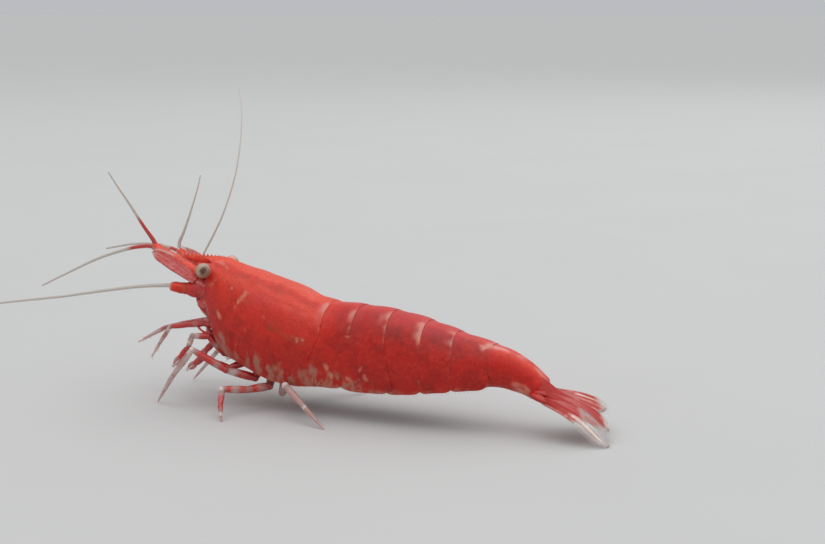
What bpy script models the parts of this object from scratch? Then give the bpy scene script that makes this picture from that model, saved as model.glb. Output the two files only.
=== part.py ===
"""Red cherry shrimp, a still life-size model standing on its walking legs and tail fan.

The head points to -X and the animal's left side faces -Y. Lengths here are millimetres
along the body, turned into metres as each mesh is written.
"""

import bpy
import bmesh
from collections import namedtuple
from math import cos, sin, pi, radians
from mathutils import Vector

MM = 0.001

# Stations along the body, from the rear edge of the carapace (0) backwards and forwards.
CARAPACE_FRONT = -6.55
ORBIT_BACK = -6.15
ROSTRUM_BASE = -7.35
ROSTRUM_TIP = -9.45
TERGITES = (1.65, 1.9, 2.0, 1.8, 1.75, 3.4)

# Heights of the back and of the lower edge of the shell, and half the body's width, each
# as (station, value) pairs that a smooth curve runs through.
BACK = ((-7.6, 7.58), (-6.2, 7.68), (-5.2, 7.5), (-3.3, 7.16), (-1.5, 6.76), (-0.2, 6.22),
        (0.6, 6.0), (1.9, 5.94), (3.7, 5.86), (5.5, 5.6), (7.3, 5.14), (9.1, 4.6),
        (10.7, 4.1), (11.5, 3.72), (12.4, 2.95))
MARGIN = ((-6.6, 4.7), (-6.1, 3.55), (-5.4, 2.9), (-4.4, 2.5), (-2.6, 1.84), (-1.2, 1.66),
          (0.7, 1.62), (3.0, 1.52), (5.3, 1.7), (7.1, 2.02), (8.8, 2.26), (9.9, 2.42))
HALF_WIDTH = ((-7.6, 0.9), (-6.6, 1.3), (-5.0, 1.8), (-3.0, 2.08), (-1.0, 2.1), (0.6, 1.95),
              (3.0, 1.88), (5.5, 1.75), (7.3, 1.5), (9.2, 1.18), (10.8, 0.9), (12.4, 0.72))
TAIL_SWING = 0.95
TAIL_SWING_FROM = 6.0
TAIL_SWING_TO = 15.5

# The tail fan: where the telson hangs, which way the fan points seen from above, and its
# blades. Each blade starts `ahead` of the telson, `aside` from it and `below` it, splays
# sideways per length, falls evenly, droops more and more to its tip and is rolled outwards.
FAN_ROOT = (12.27, 0.46, 2.52)
FAN_HEADING = (2.39, 0.45, 0.0)
FAN_THICKNESS = 0.46
Blade = namedtuple("Blade", "ahead aside below splay fall droop roll length")
TELSON = Blade(0.0, 0.0, 0.0, 0.0, 1.15, -0.1, 6.0, 2.85)
FAN_BLADES = {
    ("inner", "left"): Blade(0.2, 0.44, 0.34, 0.06, 0.5, 0.9, 20.0, 3.25),
    ("outer", "left"): Blade(0.3, 0.85, 0.5, 0.17, 0.34, 1.6, 30.0, 3.45),
    ("inner", "right"): Blade(0.2, 0.44, 0.34, 0.08, 0.75, 0.2, -8.0, 3.15),
    ("outer", "right"): Blade(0.2, 0.9, 0.42, 0.2, 0.6, 0.5, -14.0, 3.1),
}
LEAF = ((0.0, 0.17), (0.2, 0.23), (0.5, 0.31), (0.75, 0.33), (0.9, 0.28), (1.0, 0.2))
SPIKE = ((0.0, 0.2), (0.3, 0.22), (0.65, 0.23), (1.0, 0.18))

# Sections: how far round from the back the shell reaches, its wall and the body inside.
CARAPACE_REACH = radians(128)
ABDOMEN_REACH = radians(122)
WALL = 0.45
BELLY_RISE = 0.42
THORAX_RISE = 0.26
HOLLOW_FRONT = -6.1
GAP = 0.12
LANES = 9

# Each joint line leans by this much from the back to the lower edge (+ is rearwards).
# The second plate is the widest below, and overlaps the first and the third in life.
JOINT_LEAN = (0.1, -0.5, 0.45, 0.4, 0.35, 0.3, -0.45)

LIMB_RADIUS = 0.25
FEELER_RADIUS = 0.25
EYE_RADIUS = 0.4
EYE_CENTRE = (-6.64, 1.44, 7.23)

RED = (0.62, 0.03, 0.02)
DEEP_RED = (0.42, 0.02, 0.02)
SALMON = (0.75, 0.16, 0.09)
CLEAR_RED = (0.62, 0.22, 0.19)
PALE = (0.78, 0.76, 0.66)
EYE_GREY = (0.32, 0.29, 0.25)

SIDES = (("left", -1.0), ("right", 1.0))


def clear_scene():
    """Remove every object that is already in the file."""
    for item in list(bpy.data.objects):
        bpy.data.objects.remove(item, do_unlink=True)


def curve_through(points, x):
    """Value at x of the smooth curve through (x, value) pairs, flat beyond its ends."""
    if x <= points[0][0]:
        return points[0][1]
    if x >= points[-1][0]:
        return points[-1][1]
    last = len(points) - 1
    i = max(k for k in range(last) if points[k][0] <= x)

    def slope(k):
        low = points[max(k - 1, 0)]
        high = points[min(k + 1, last)]
        return (high[1] - low[1]) / (high[0] - low[0])

    width = points[i + 1][0] - points[i][0]
    u = (x - points[i][0]) / width
    start = points[i][1]
    end = points[i + 1][1]
    return (start * (2 * u ** 3 - 3 * u ** 2 + 1) + end * (3 * u ** 2 - 2 * u ** 3)
            + width * slope(i) * (u ** 3 - 2 * u ** 2 + u)
            + width * slope(i + 1) * (u ** 3 - u ** 2))


def smooth_step(low, high, x):
    """0 below low, 1 above high and a soft rise between them."""
    u = min(max((x - low) / (high - low), 0.0), 1.0)
    return u * u * (3 - 2 * u)


def swing(x):
    """Sideways place of the body's middle plane, which curves away towards the tail."""
    return TAIL_SWING * smooth_step(TAIL_SWING_FROM, TAIL_SWING_TO, x)


def bulge(value, power):
    """A cosine or sine made fuller (power under 1) or leaner, with its sign kept."""
    return (1 if value >= 0 else -1) * abs(value) ** power


def on_shell(x, lane, reach):
    """Point of the shell at station x; lane runs from -1 to 1, edge to edge over the back."""
    top = curve_through(BACK, x)
    low = curve_through(MARGIN, x)
    angle = lane * reach
    half_height = (top - low) / (1 - cos(reach))
    y = curve_through(HALF_WIDTH, x) * bulge(sin(angle), 0.92)
    z = top - half_height * (1 - cos(angle))
    return Vector((x, swing(x) + y, z))


def under_shell(x, lane, reach, rise, inset=0.0):
    """Point of the hollow under the shell: an arch between its two lower edges."""
    edge = on_shell(x, 1.0, reach)
    roof = edge.z + rise * (curve_through(BACK, x) - edge.z) - inset
    half = edge.y - swing(x) - WALL - inset
    turn = lane * pi / 2
    y = half * bulge(sin(turn), 0.7)
    z = edge.z + (roof - edge.z) * bulge(cos(turn), 0.6)
    return Vector((x, swing(x) + y, z))


def lanes(count):
    """Evenly spread lanes from -1 to 1."""
    return [k / count for k in range(-count, count + 1)]


def colour_of(name, colour, roughness):
    """A Principled material of one colour for one sub-part."""
    material = bpy.data.materials.new(name)
    material.use_nodes = True
    shader = material.node_tree.nodes["Principled BSDF"]
    shader.inputs["Base Color"].default_value = (*colour, 1.0)
    shader.inputs["Roughness"].default_value = roughness
    shader.inputs["Metallic"].default_value = 0.0
    material.diffuse_color = (*colour, 1.0)
    return material


def add_mesh(name, points, faces, colour, roughness=0.35):
    """One closed, outward-facing object from millimetre points and faces."""
    mesh = bpy.data.meshes.new(name)
    mesh.from_pydata([Vector(point) * MM for point in points], [], faces)
    shape = bmesh.new()
    shape.from_mesh(mesh)
    bmesh.ops.recalc_face_normals(shape, faces=shape.faces)
    bmesh.ops.triangulate(shape, faces=shape.faces)
    shape.to_mesh(mesh)
    shape.free()
    mesh.shade_smooth()
    mesh.set_sharp_from_angle(angle=radians(40))
    item = bpy.data.objects.new(name, mesh)
    item.data.materials.append(colour_of(name, colour, roughness))
    bpy.context.scene.collection.objects.link(item)
    return item


def loft(name, rings, colour, roughness=0.35):
    """Solid through closed rings of equal counts, each end closed about its middle."""
    count = len(rings[0])
    points = [point for ring in rings for point in ring]
    faces = []
    for r in range(len(rings) - 1):
        for k in range(count):
            n = (k + 1) % count
            faces.append((r * count + k, r * count + n, (r + 1) * count + n, (r + 1) * count + k))
    for r in (0, len(rings) - 1):
        points.append(sum((Vector(point) for point in rings[r]), Vector()) / count)
        for k in range(count):
            faces.append((r * count + k, r * count + (k + 1) % count, len(points) - 1))
    return add_mesh(name, points, faces, colour, roughness)


def arch(name, front, rear, reach, rise, steps, colour, hollow_front=None):
    """Shell plate with the flesh inside it, from one joint line to the next.

    front and rear give the station of each edge for a lane. The section is an arch whose
    two feet are the plate's side flaps, open below. Where hollow_front is given, the
    hollow starts at that station right across, and the front face slopes back to it.
    """
    spread = lanes(LANES)
    rings = []
    for step in range(steps + 1):
        part = step / steps
        outer = []
        inner = []
        for lane in spread:
            start = front(abs(lane))
            end = rear(abs(lane))
            outer.append(on_shell(start * (1 - part) + end * part, lane, reach))
            start = start if hollow_front is None else max(hollow_front, start)
            inner.append(under_shell(start * (1 - part) + end * part, lane, reach, rise))
        rings.append(outer + inner)
    count = len(spread)
    size = 2 * count
    faces = []
    for r in range(steps):
        here = r * size
        there = here + size
        for k in range(count - 1):
            for start in (0, count):
                a = start + k
                faces.append((here + a, here + a + 1, there + a + 1, there + a))
        for edge in (0, count - 1):
            faces.append((here + edge, here + count + edge, there + count + edge, there + edge))
    for end in (0, steps * size):
        for k in range(count - 1):
            faces.append((end + k, end + k + 1, end + count + k + 1, end + count + k))
    return add_mesh(name, [point for ring in rings for point in ring], faces, colour)


def joint_line(index):
    """Station of the joint line behind plate number index, for a lane of 0 to 1."""
    back = sum(TERGITES[:index])
    lean = JOINT_LEAN[index]

    def station(lane):
        return back + lean * lane ** 2

    return station


def beyond(line, distance):
    """The same joint line moved along the body."""
    return lambda lane: line(lane) + distance


def carapace_front(lane):
    """Front edge of the carapace: rostrum base, eye socket, antennal spine, round corner."""
    edge = ((0.0, ROSTRUM_BASE), (0.09, ROSTRUM_BASE + 0.25), (0.26, ORBIT_BACK),
            (0.42, CARAPACE_FRONT - 0.15), (0.75, CARAPACE_FRONT + 0.2), (1.0, -5.5))
    return curve_through(edge, lane)


def build_carapace():
    """The big shield over head and thorax, and the toothed rostrum in front of it."""
    rear = beyond(joint_line(0), -GAP)
    arch("carapace", carapace_front, rear, CARAPACE_REACH, THORAX_RISE, 9, RED, HOLLOW_FRONT)
    rings = []
    for step in range(6):
        part = step / 5
        x = ROSTRUM_BASE - GAP + (ROSTRUM_TIP - ROSTRUM_BASE) * part
        depth = 0.26 * (1 - part) + 0.12
        half = 0.25 - 0.04 * part
        middle = 7.44 + 0.4 * part
        ring = []
        for k in range(8):
            turn = 2 * pi * k / 8
            ring.append(Vector((x, half * cos(turn), middle + depth * sin(turn))))
        rings.append(ring)
    loft("rostrum", rings, SALMON)


def build_thorax():
    """The underside that carries the legs, inside the carapace."""
    rings = []
    for step in range(6):
        x = -5.2 + 4.7 * step / 5
        floor = curve_through(MARGIN, x) + 0.38
        roof = [under_shell(x, lane, CARAPACE_REACH, THORAX_RISE, GAP) for lane in lanes(4)]
        top = [point for point in roof if point.z > floor + 0.15]
        half = top[-1].y
        bottom = [Vector((x, half * side, floor)) for side in (0.8, 0.3, -0.3, -0.8)]
        rings.append(resample(top + bottom, 12))
    loft("thorax", rings, CLEAR_RED)


def resample(ring, count):
    """The closed ring walked round in equal steps."""
    closed = ring + ring[:1]
    lengths = [(b - a).length for a, b in zip(closed, closed[1:])]
    total = sum(lengths)
    result = []
    for k in range(count):
        want = total * k / count
        at = 0
        while want > lengths[at]:
            want -= lengths[at]
            at += 1
        result.append(closed[at].lerp(closed[at + 1], want / lengths[at]))
    return result


def oval(centre, half_width, half_height, count=12, lean=0.0):
    """Upright oval ring across the body; lean pushes its lower half along the body."""
    ring = []
    for k in range(count):
        turn = 2 * pi * k / count
        rise = half_height * cos(turn)
        ring.append(Vector(centre) + Vector((-lean * rise, half_width * sin(turn), rise)))
    return ring


def build_head():
    """The head below the rostrum: eye ridge, bases of the feelers and mouth."""
    stations = ((-6.46, 0.56, 4.2, 5.3), (-6.66, 0.73, 4.25, 5.74), (-6.95, 0.8, 4.4, 6.5),
                (-7.3, 0.72, 4.65, 6.6), (-7.6, 0.5, 4.95, 6.2))
    rings = []
    for x, half, low, top in stations:
        rings.append(oval((x, 0, (low + top) / 2), half, (top - low) / 2))
    loft("head", rings, CLEAR_RED)


def build_abdomen():
    """Five plates with side flaps, and the long round sixth segment."""
    for index in range(5):
        front = joint_line(index)
        rear = beyond(joint_line(index + 1), -GAP)
        arch(f"abdomen_{index + 1}", front, rear, ABDOMEN_REACH, BELLY_RISE, 3, RED)
    start = joint_line(5)(0)
    length = TERGITES[5] - GAP
    rings = []
    for step in range(7):
        part = step / 6
        x = start + length * part
        top = curve_through(BACK, x)
        depth = 2.15 - 0.95 * part
        half = curve_through(HALF_WIDTH, x)
        lean = 0.05 + 0.72 * part
        centre = (x - lean * depth / 2, swing(x), top - depth / 2)
        ring = oval(centre, half, depth / 2, 14, -lean)
        for k, point in enumerate(ring):
            turn = min(k, 14 - k) * 2 * pi / 14
            point.x += JOINT_LEAN[5] * min(turn / ABDOMEN_REACH, 1.0) ** 2 * (1 - part)
        rings.append(ring)
    loft("abdomen_6", rings, DEEP_RED)


def frame_along(path):
    """Tangents and steady sideways directions along a path."""
    last = len(path) - 1
    tangents = [(path[min(i + 1, last)] - path[max(i - 1, 0)]).normalized()
                for i in range(last + 1)]
    across = tangents[0].cross(Vector((0, 0, 1)))
    if across.length < 0.2:
        across = tangents[0].cross(Vector((1, 0, 0)))
    sides = []
    for tangent in tangents:
        across = (across - tangent * across.dot(tangent)).normalized()
        sides.append(across.copy())
    return tangents, sides


def ring_at(centre, tangent, side, wide, deep, count):
    """Oval ring square to a path."""
    up = side.cross(tangent)
    ring = []
    for k in range(count):
        turn = 2 * pi * k / count
        ring.append(centre + side * (wide * cos(turn)) + up * (deep * sin(turn)))
    return ring


def through(points, per_span):
    """Smooth path through points, with per_span steps between each two of them."""
    points = [Vector(point) for point in points]
    ends = [2 * points[0] - points[1]] + points + [2 * points[-1] - points[-2]]
    path = []
    for i in range(1, len(ends) - 2):
        a, b, c, d = ends[i - 1:i + 3]
        for step in range(per_span):
            u = step / per_span
            path.append(0.5 * (2 * b + (c - a) * u + (2 * a - 5 * b + 4 * c - d) * u ** 2
                               + (3 * b - a - 3 * c + d) * u ** 3))
    return path + [points[-1]]


def feeler(name, points, colour, per_span=3):
    """A slender feeler of one thickness on a smooth curve."""
    path = through(points, per_span)
    tangents, sides = frame_along(path)
    rings = [ring_at(p, t, s, FEELER_RADIUS, FEELER_RADIUS, 6)
             for p, t, s in zip(path, tangents, sides)]
    return loft(name, rings, colour)


def limb(name, points, radii, colour, on_floor=False):
    """A jointed limb: straight lengths between joints, with a swelling at each joint."""
    points = [Vector(point) for point in points]
    path = []
    sizes = []
    for i in range(len(points) - 1):
        near, far = points[i], points[i + 1]
        path.append(near)
        sizes.append(radii[i])
        for part in (0.3, 0.7):
            path.append(near.lerp(far, part))
            sizes.append((radii[i] * (1 - part) + radii[i + 1] * part) * 0.97)
    path.append(points[-1])
    sizes.append(radii[-1])
    tangents, sides = frame_along(path)
    rings = [ring_at(p, t, s, r, r, 8) for p, t, s, r in zip(path, tangents, sides, sizes)]
    if on_floor:
        foot = points[-1]
        across = sides[-1].copy()
        across.z = 0
        rings[-1] = ring_at(foot, Vector((0, 0, -1)), across.normalized(), radii[-1], radii[-1], 8)
    return loft(name, rings, colour)


def mirrored(points, sign):
    """Points given for the right side, moved to the side whose sign is given."""
    return [Vector((x, y * sign, z)) for x, y, z in points]


def build_eyes():
    """Round eyes on short stalks either side of the rostrum."""
    for side, sign in SIDES:
        centre = Vector(EYE_CENTRE)
        root = Vector((EYE_CENTRE[0] - 0.52, 0.52, EYE_CENTRE[2] - 0.15))
        outward = (centre - root).normalized()
        start = root
        end = centre - outward * (EYE_RADIUS + GAP)
        path = [start, start.lerp(end, 0.5), end]
        stalk = mirrored(path, sign)
        tangents, sides = frame_along(stalk)
        rings = [ring_at(p, t, s, r, r, 10)
                 for p, t, s, r in zip(stalk, tangents, sides, (0.25, 0.26, 0.3))]
        loft(f"eyestalk_{side}", rings, SALMON)
        rings = []
        for step in range(1, 8):
            turn = pi * step / 8
            middle = centre + outward * (-EYE_RADIUS * cos(turn))
            ring = ring_at(middle, outward, Vector((0, 0, 1)).cross(outward).normalized(),
                           EYE_RADIUS * sin(turn), EYE_RADIUS * sin(turn), 12)
            rings.append(mirrored(ring, sign))
        loft(f"eye_{side}", rings, EYE_GREY, 0.15)


def build_antennules():
    """First feelers: a stout three-jointed base and two lashes on each side."""
    bases = {
        "left": ((-7.62, -0.62, 6.75), (-8.6, -0.68, 7.2), (-9.55, -0.62, 7.72), (-10.38, -0.5, 8.12)),
        "right": ((-7.62, 0.62, 6.75), (-8.4, 0.74, 7.08), (-9.2, 0.95, 7.4), (-9.86, 1.12, 7.7)),
    }
    outer = {
        "left": ((-10.46, -0.56, 8.62), (-10.87, -0.8, 9.35), (-11.39, -1.2, 10.48),
                 (-11.8, -1.6, 11.4), (-12.18, -2.0, 12.32)),
        "right": ((-9.82, 1.14, 8.24), (-9.56, 1.2, 8.8), (-9.26, 1.4, 9.8), (-8.98, 1.75, 11.1),
                  (-8.9, 2.0, 11.9)),
    }
    inner = {
        "left": ((-10.98, -0.5, 8.14), (-12.1, -0.62, 7.92), (-13.9, -0.85, 7.3),
                 (-15.9, -1.15, 6.35), (-17.4, -1.45, 5.6)),
        "right": ((-10.42, 0.98, 7.9), (-11.1, 0.6, 8.1), (-12.4, 0.3, 8.05), (-14.1, 0.2, 7.7)),
    }
    for side, _sign in SIDES:
        limb(f"antennule_base_{side}", bases[side], (0.42, 0.39, 0.34, 0.28), RED)
        feeler(f"antennule_outer_{side}", outer[side], RED)
        feeler(f"antennule_inner_{side}", inner[side], PALE)


def build_antennae():
    """Second feelers: base, blade-like scale and a long lash on each side."""
    bases = ((-6.98, 1.18, 6.02), (-7.8, 1.34, 6.14), (-8.62, 1.5, 6.24))
    lashes = {
        "left": ((-8.86, -1.62, 6.3), (-10.19, -2.2, 6.24), (-12.25, -3.0, 5.95), (-14.2, -4.0, 5.66),
                 (-17.0, -5.4, 5.34), (-20.2, -7.0, 4.9), (-23.4, -8.4, 4.2), (-26.6, -9.5, 3.2)),
        "right": ((-8.88, 1.6, 6.26), (-9.5, 2.3, 6.45), (-9.35, 2.9, 7.4), (-8.9, 3.3, 8.5),
                  (-8.5, 3.8, 9.8), (-8.4, 4.8, 11.6), (-8.8, 6.1, 13.4), (-9.6, 7.6, 15.0),
                  (-10.7, 9.2, 16.3)),
    }
    for side, sign in SIDES:
        limb(f"antenna_base_{side}", mirrored(bases, sign), (0.36, 0.32, 0.29), RED)
        feeler(f"antenna_lash_{side}", lashes[side], PALE)
        build_scale(side, sign)


def build_scale(side, sign):
    """The flat blade over each second feeler's base."""
    root = Vector((-7.5, 1.62, 6.62))
    tip = Vector((-10.1, 1.5, 8.05) if side == "left" else (-10.0, 2.05, 7.75))
    spread = Vector((0, 0.5, -0.6)).normalized()
    along = (tip - root).normalized()
    spread = (spread - along * spread.dot(along)).normalized()
    widths = ((0.0, 0.28), (0.25, 0.44), (0.6, 0.46), (0.85, 0.38), (1.0, 0.26))
    rings = []
    for part, half in widths:
        rings.append(ring_at(root.lerp(tip, part), along, spread, half, 0.25, 10))
    loft(f"antenna_scale_{side}", [mirrored(ring, sign) for ring in rings], CLEAR_RED)


def build_legs():
    """Third mouth-feet, two pairs of small pincer legs and three pairs of walking legs."""
    mouth_feet = {
        "left": ((-7.1, -0.78, 4.2), (-8.0, -1.0, 4.08), (-9.02, -1.2, 3.92), (-9.7, -1.24, 2.95),
                 (-10.26, -1.26, 2.11)),
        "right": ((-7.1, 0.74, 4.2), (-8.7, 0.5, 3.9), (-10.3, 0.25, 3.5), (-11.2, 0.1, 3.0),
                  (-12.0, 0.0, 2.55)),
    }
    legs = {
        ("left", 1): ((-5.05, -0.55, 2.62), (-5.85, -0.78, 2.68), (-6.6, -1.13, 3.6),
                      (-7.4, -1.5, 3.62), (-7.62, -1.6, 2.95), (-8.45, -1.75, 1.95)),
        ("left", 2): ((-4.35, -0.62, 2.38), (-5.2, -1.35, 2.05), (-6.5, -1.9, 2.6), (-7.3, -2.1, 1.95)),
        ("left", 3): ((-3.65, -0.62, 2.2), (-3.75, -1.1, 1.6), (-5.0, -2.0, 2.1), (-6.6, -2.75, 3.2),
                      (-7.9, -2.75, 1.6), (-9.0, -2.6, 0.0)),
        ("left", 4): ((-2.9, -0.62, 1.98), (-2.75, -1.3, 1.3), (-3.5, -2.3, 1.25), (-4.45, -3.3, 1.4),
                      (-4.15, -3.95, 0.7), (-3.8, -4.45, 0.0)),
        ("left", 5): ((-2.1, -0.62, 1.78), (-1.95, -1.35, 1.05), (-1.2, -2.32, 1.72), (0.3, -2.95, 0.85),
                      (1.7, -3.5, 0.0)),
        ("right", 1): ((-5.05, 0.55, 2.62), (-5.85, 0.82, 2.66), (-7.0, 1.17, 3.3), (-7.9, 1.3, 2.6),
                       (-8.7, 1.2, 1.8)),
        ("right", 2): ((-4.35, 0.62, 2.38), (-5.2, 1.35, 2.05), (-6.4, 1.9, 2.4), (-7.4, 2.05, 1.65)),
        ("right", 3): ((-3.65, 0.62, 2.2), (-3.75, 1.1, 1.6), (-5.3, 2.2, 2.3), (-7.0, 2.9, 3.3),
                       (-8.6, 2.7, 1.7), (-10.0, 2.4, 0.0)),
        ("right", 4): ((-2.9, 0.62, 1.98), (-2.8, 1.3, 1.3), (-3.6, 2.4, 1.5), (-4.3, 3.2, 1.8),
                       (-4.9, 3.9, 0.9), (-5.4, 4.4, 0.0)),
        ("right", 5): ((-2.1, 0.62, 1.76), (-1.95, 1.37, 1.02), (-1.4, 2.45, 1.85), (-0.4, 3.2, 0.9),
                       (0.4, 3.8, 0.0)),
    }
    for side, _sign in SIDES:
        limb(f"mouth_foot_{side}", mouth_feet[side], (0.29, 0.28, 0.27, 0.25, 0.25), CLEAR_RED)
        for number in range(1, 6):
            points = legs[side, number]
            radii = [0.3, 0.28] + [0.27] * (len(points) - 3) + [LIMB_RADIUS]
            if number <= 2:
                radii[-2] = 0.33
            limb(f"leg_{number}_{side}", points, radii, CLEAR_RED, on_floor=number >= 3)


def build_swimmerets():
    """A pair of leaf-shaped swimming feet under each of the first five segments."""
    for index in range(5):
        middle = sum(TERGITES[:index]) + TERGITES[index] / 2
        for side, sign in SIDES:
            roof = under_shell(middle, 0.0, ABDOMEN_REACH, BELLY_RISE)
            margin = on_shell(middle, 1.0, ABDOMEN_REACH).z
            start = roof + Vector((-0.2, 0.33 * sign, -0.14 - 0.16 * (roof.z - margin)))
            end = Vector((middle + 0.3, start.y, margin))
            rings = []
            for part, half, thick in ((0.0, 0.24, 0.18), (0.35, 0.4, 0.25), (0.7, 0.4, 0.25),
                                      (1.0, 0.28, 0.25)):
                centre = start.lerp(end, part)
                rings.append(ring_at(centre, Vector((0, 0, -1)), Vector((1, 0, 0)), half, thick, 8))
            loft(f"swimmeret_{index + 1}_{side}", rings, CLEAR_RED)


def blade(name, side, shape, widths, colour):
    """A tail blade about half a millimetre thick that bends down and rests on the floor."""
    heading = Vector(FAN_HEADING).normalized()
    across = Vector((-heading.y, heading.x, 0.0))
    roll = radians(shape.roll)
    start = Vector(FAN_ROOT) + across * (shape.aside * side) - heading * shape.ahead
    start.z -= shape.below
    run = heading + across * (shape.splay * side)
    rings = []
    for part, half in widths:
        drop = shape.fall * part + shape.droop * part ** 2
        centre = start + run * (shape.length * part) - Vector((0, 0, drop))
        centre.z = max(centre.z, FAN_THICKNESS / 2)
        steepness = (shape.fall + 2 * shape.droop * part) / shape.length
        tangent = (run - Vector((0, 0, steepness))).normalized()
        lean = across * cos(roll) + tangent.cross(across) * sin(roll)
        ring = ring_at(centre, tangent, lean, half, FAN_THICKNESS / 2, 10)
        rings.append([Vector((point.x, point.y, max(point.z, 0.0))) for point in ring])
    return loft(name, rings, colour)


def build_tail_fan():
    """Telson in the middle, and an inner and an outer blade on each side of it."""
    signs = dict(SIDES)
    blade("telson", signs["left"], TELSON, SPIKE, RED)
    for (kind, side), shape in FAN_BLADES.items():
        blade(f"tail_{kind}_{side}", signs[side], shape, LEAF,
              RED if kind == "inner" else CLEAR_RED)


def stand_on_origin():
    """Move the whole model so that the middle of its box stands on the origin."""
    meshes = [item.data for item in bpy.data.objects if item.type == "MESH"]
    points = [vertex.co for mesh in meshes for vertex in mesh.vertices]
    low = Vector([min(point[axis] for point in points) for axis in range(3)])
    high = Vector([max(point[axis] for point in points) for axis in range(3)])
    move = Vector((-(low.x + high.x) / 2, -(low.y + high.y) / 2, -low.z))
    for mesh in meshes:
        for vertex in mesh.vertices:
            vertex.co += move


def main():
    """Build every sub-part, then stand the model on the origin."""
    clear_scene()
    build_carapace()
    build_thorax()
    build_head()
    build_eyes()
    build_antennules()
    build_antennae()
    build_legs()
    build_abdomen()
    build_swimmerets()
    build_tail_fan()
    stand_on_origin()


main()
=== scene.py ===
"""Looks of the red cherry shrimp: shell, flesh, eyes, feelers, legs, tail fan and bristles.

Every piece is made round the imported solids. Sizes are in millimetres along the body and
become metres as a point is placed. The head points to -X and the left side faces -Y.
"""

from __future__ import annotations

import logging
import math
import random
from abc import ABC, abstractmethod
from dataclasses import dataclass, field
from enum import Enum
from itertools import accumulate
from typing import Callable, Iterable, Sequence

import bpy
from mathutils import Matrix, Vector, noise

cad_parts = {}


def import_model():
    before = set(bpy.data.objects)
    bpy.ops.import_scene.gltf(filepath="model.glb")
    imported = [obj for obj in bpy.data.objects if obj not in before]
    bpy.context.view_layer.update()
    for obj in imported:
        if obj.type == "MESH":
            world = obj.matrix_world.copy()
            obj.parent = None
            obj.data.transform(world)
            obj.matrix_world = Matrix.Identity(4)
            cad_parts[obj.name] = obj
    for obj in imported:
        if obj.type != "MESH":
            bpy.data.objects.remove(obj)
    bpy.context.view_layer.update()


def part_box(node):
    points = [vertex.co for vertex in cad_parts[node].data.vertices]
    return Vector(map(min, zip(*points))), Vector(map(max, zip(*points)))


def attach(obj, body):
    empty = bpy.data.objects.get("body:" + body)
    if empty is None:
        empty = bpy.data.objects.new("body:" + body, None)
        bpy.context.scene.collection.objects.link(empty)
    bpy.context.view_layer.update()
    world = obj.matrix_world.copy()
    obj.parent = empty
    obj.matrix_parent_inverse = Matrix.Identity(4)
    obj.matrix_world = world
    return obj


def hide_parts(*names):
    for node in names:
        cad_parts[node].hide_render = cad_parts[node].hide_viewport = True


MM = 0.001
BODY = "root"
FLOOR_GAP = 1e-6
TURN = 2 * math.pi
LOG = logging.getLogger("shrimp")

Point = tuple[float, float, float]
Route = tuple[Point, ...]
Colour = tuple[float, float, float]
Piece = bpy.types.Object
Socket = bpy.types.NodeSocket


class Side(Enum):
    """The animal's two sides, by the sign of Y."""

    LEFT = -1
    RIGHT = 1

    @property
    def label(self) -> str:
        """The side's name as the nodes spell it."""
        return self.name.lower()


class Slot(Enum):
    """Names of material slots."""

    SHELL = "shell"
    BODY = "body"
    LIMB = "limb"
    FEELER = "feeler"
    EYE = "eye"


# --------------------------------------------------------------------------- small maths


def soft_step(low: float, high: float, value: float) -> float:
    """Rise smoothly from 0 at low to 1 at high.

    Args:
        low: Where the rise begins.
        high: Where the rise ends.
        value: Where it is read.

    Returns:
        A number from 0 to 1.
    """
    part = min(max((value - low) / (high - low), 0.0), 1.0)
    return part * part * (3 - 2 * part)


def fade(low: float, high: float, value: float) -> float:
    """Fall smoothly from 1 at low to 0 at high."""
    return 1 - soft_step(low, high, value)


def hump(centre: float, width: float, value: float) -> float:
    """A soft bump of height 1 round centre that falls away over width."""
    return math.exp(-((value - centre) / width) ** 2)


def blend(a: float, b: float, part: float) -> float:
    """The number part of the way from a to b."""
    return a + (b - a) * part


def full_sine(angle: float, power: float) -> float:
    """The sine, with its flanks filled out by a power below 1."""
    return math.copysign(abs(math.sin(angle)) ** power, math.sin(angle))


def ripple(x: float, y: float, z: float) -> float:
    """Smooth noise round 0 at a place."""
    return noise.noise(Vector((x, y, z)))


def across_of(way: Vector, along: Vector) -> Vector:
    """The direction nearest to a way that lies across another."""
    return (way - along * way.dot(along)).normalized()


@dataclass(frozen=True)
class Profile:
    """A smooth curve through a few (station, value) points, flat beyond its ends."""

    points: tuple[tuple[float, float], ...]

    def at(self, x: float) -> float:
        """Read the curve.

        Args:
            x: The station.

        Returns:
            The curve's value there.
        """
        points = self.points
        if x <= points[0][0]:
            return points[0][1]
        if x >= points[-1][0]:
            return points[-1][1]
        last = len(points) - 1
        i = max(k for k in range(last) if points[k][0] <= x)
        width = points[i + 1][0] - points[i][0]
        u = (x - points[i][0]) / width
        start, end = points[i][1], points[i + 1][1]
        return (
            start * (2 * u**3 - 3 * u**2 + 1)
            + end * (3 * u**2 - 2 * u**3)
            + width * self._slope(i) * (u**3 - 2 * u**2 + u)
            + width * self._slope(i + 1) * (u**3 - u**2)
        )

    def _slope(self, k: int) -> float:
        """The curve's slope at its point number k.

        Args:
            k: The point's number.

        Returns:
            The slope.
        """
        low = self.points[max(k - 1, 0)]
        high = self.points[min(k + 1, len(self.points) - 1)]
        return (high[1] - low[1]) / (high[0] - low[0])


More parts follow.
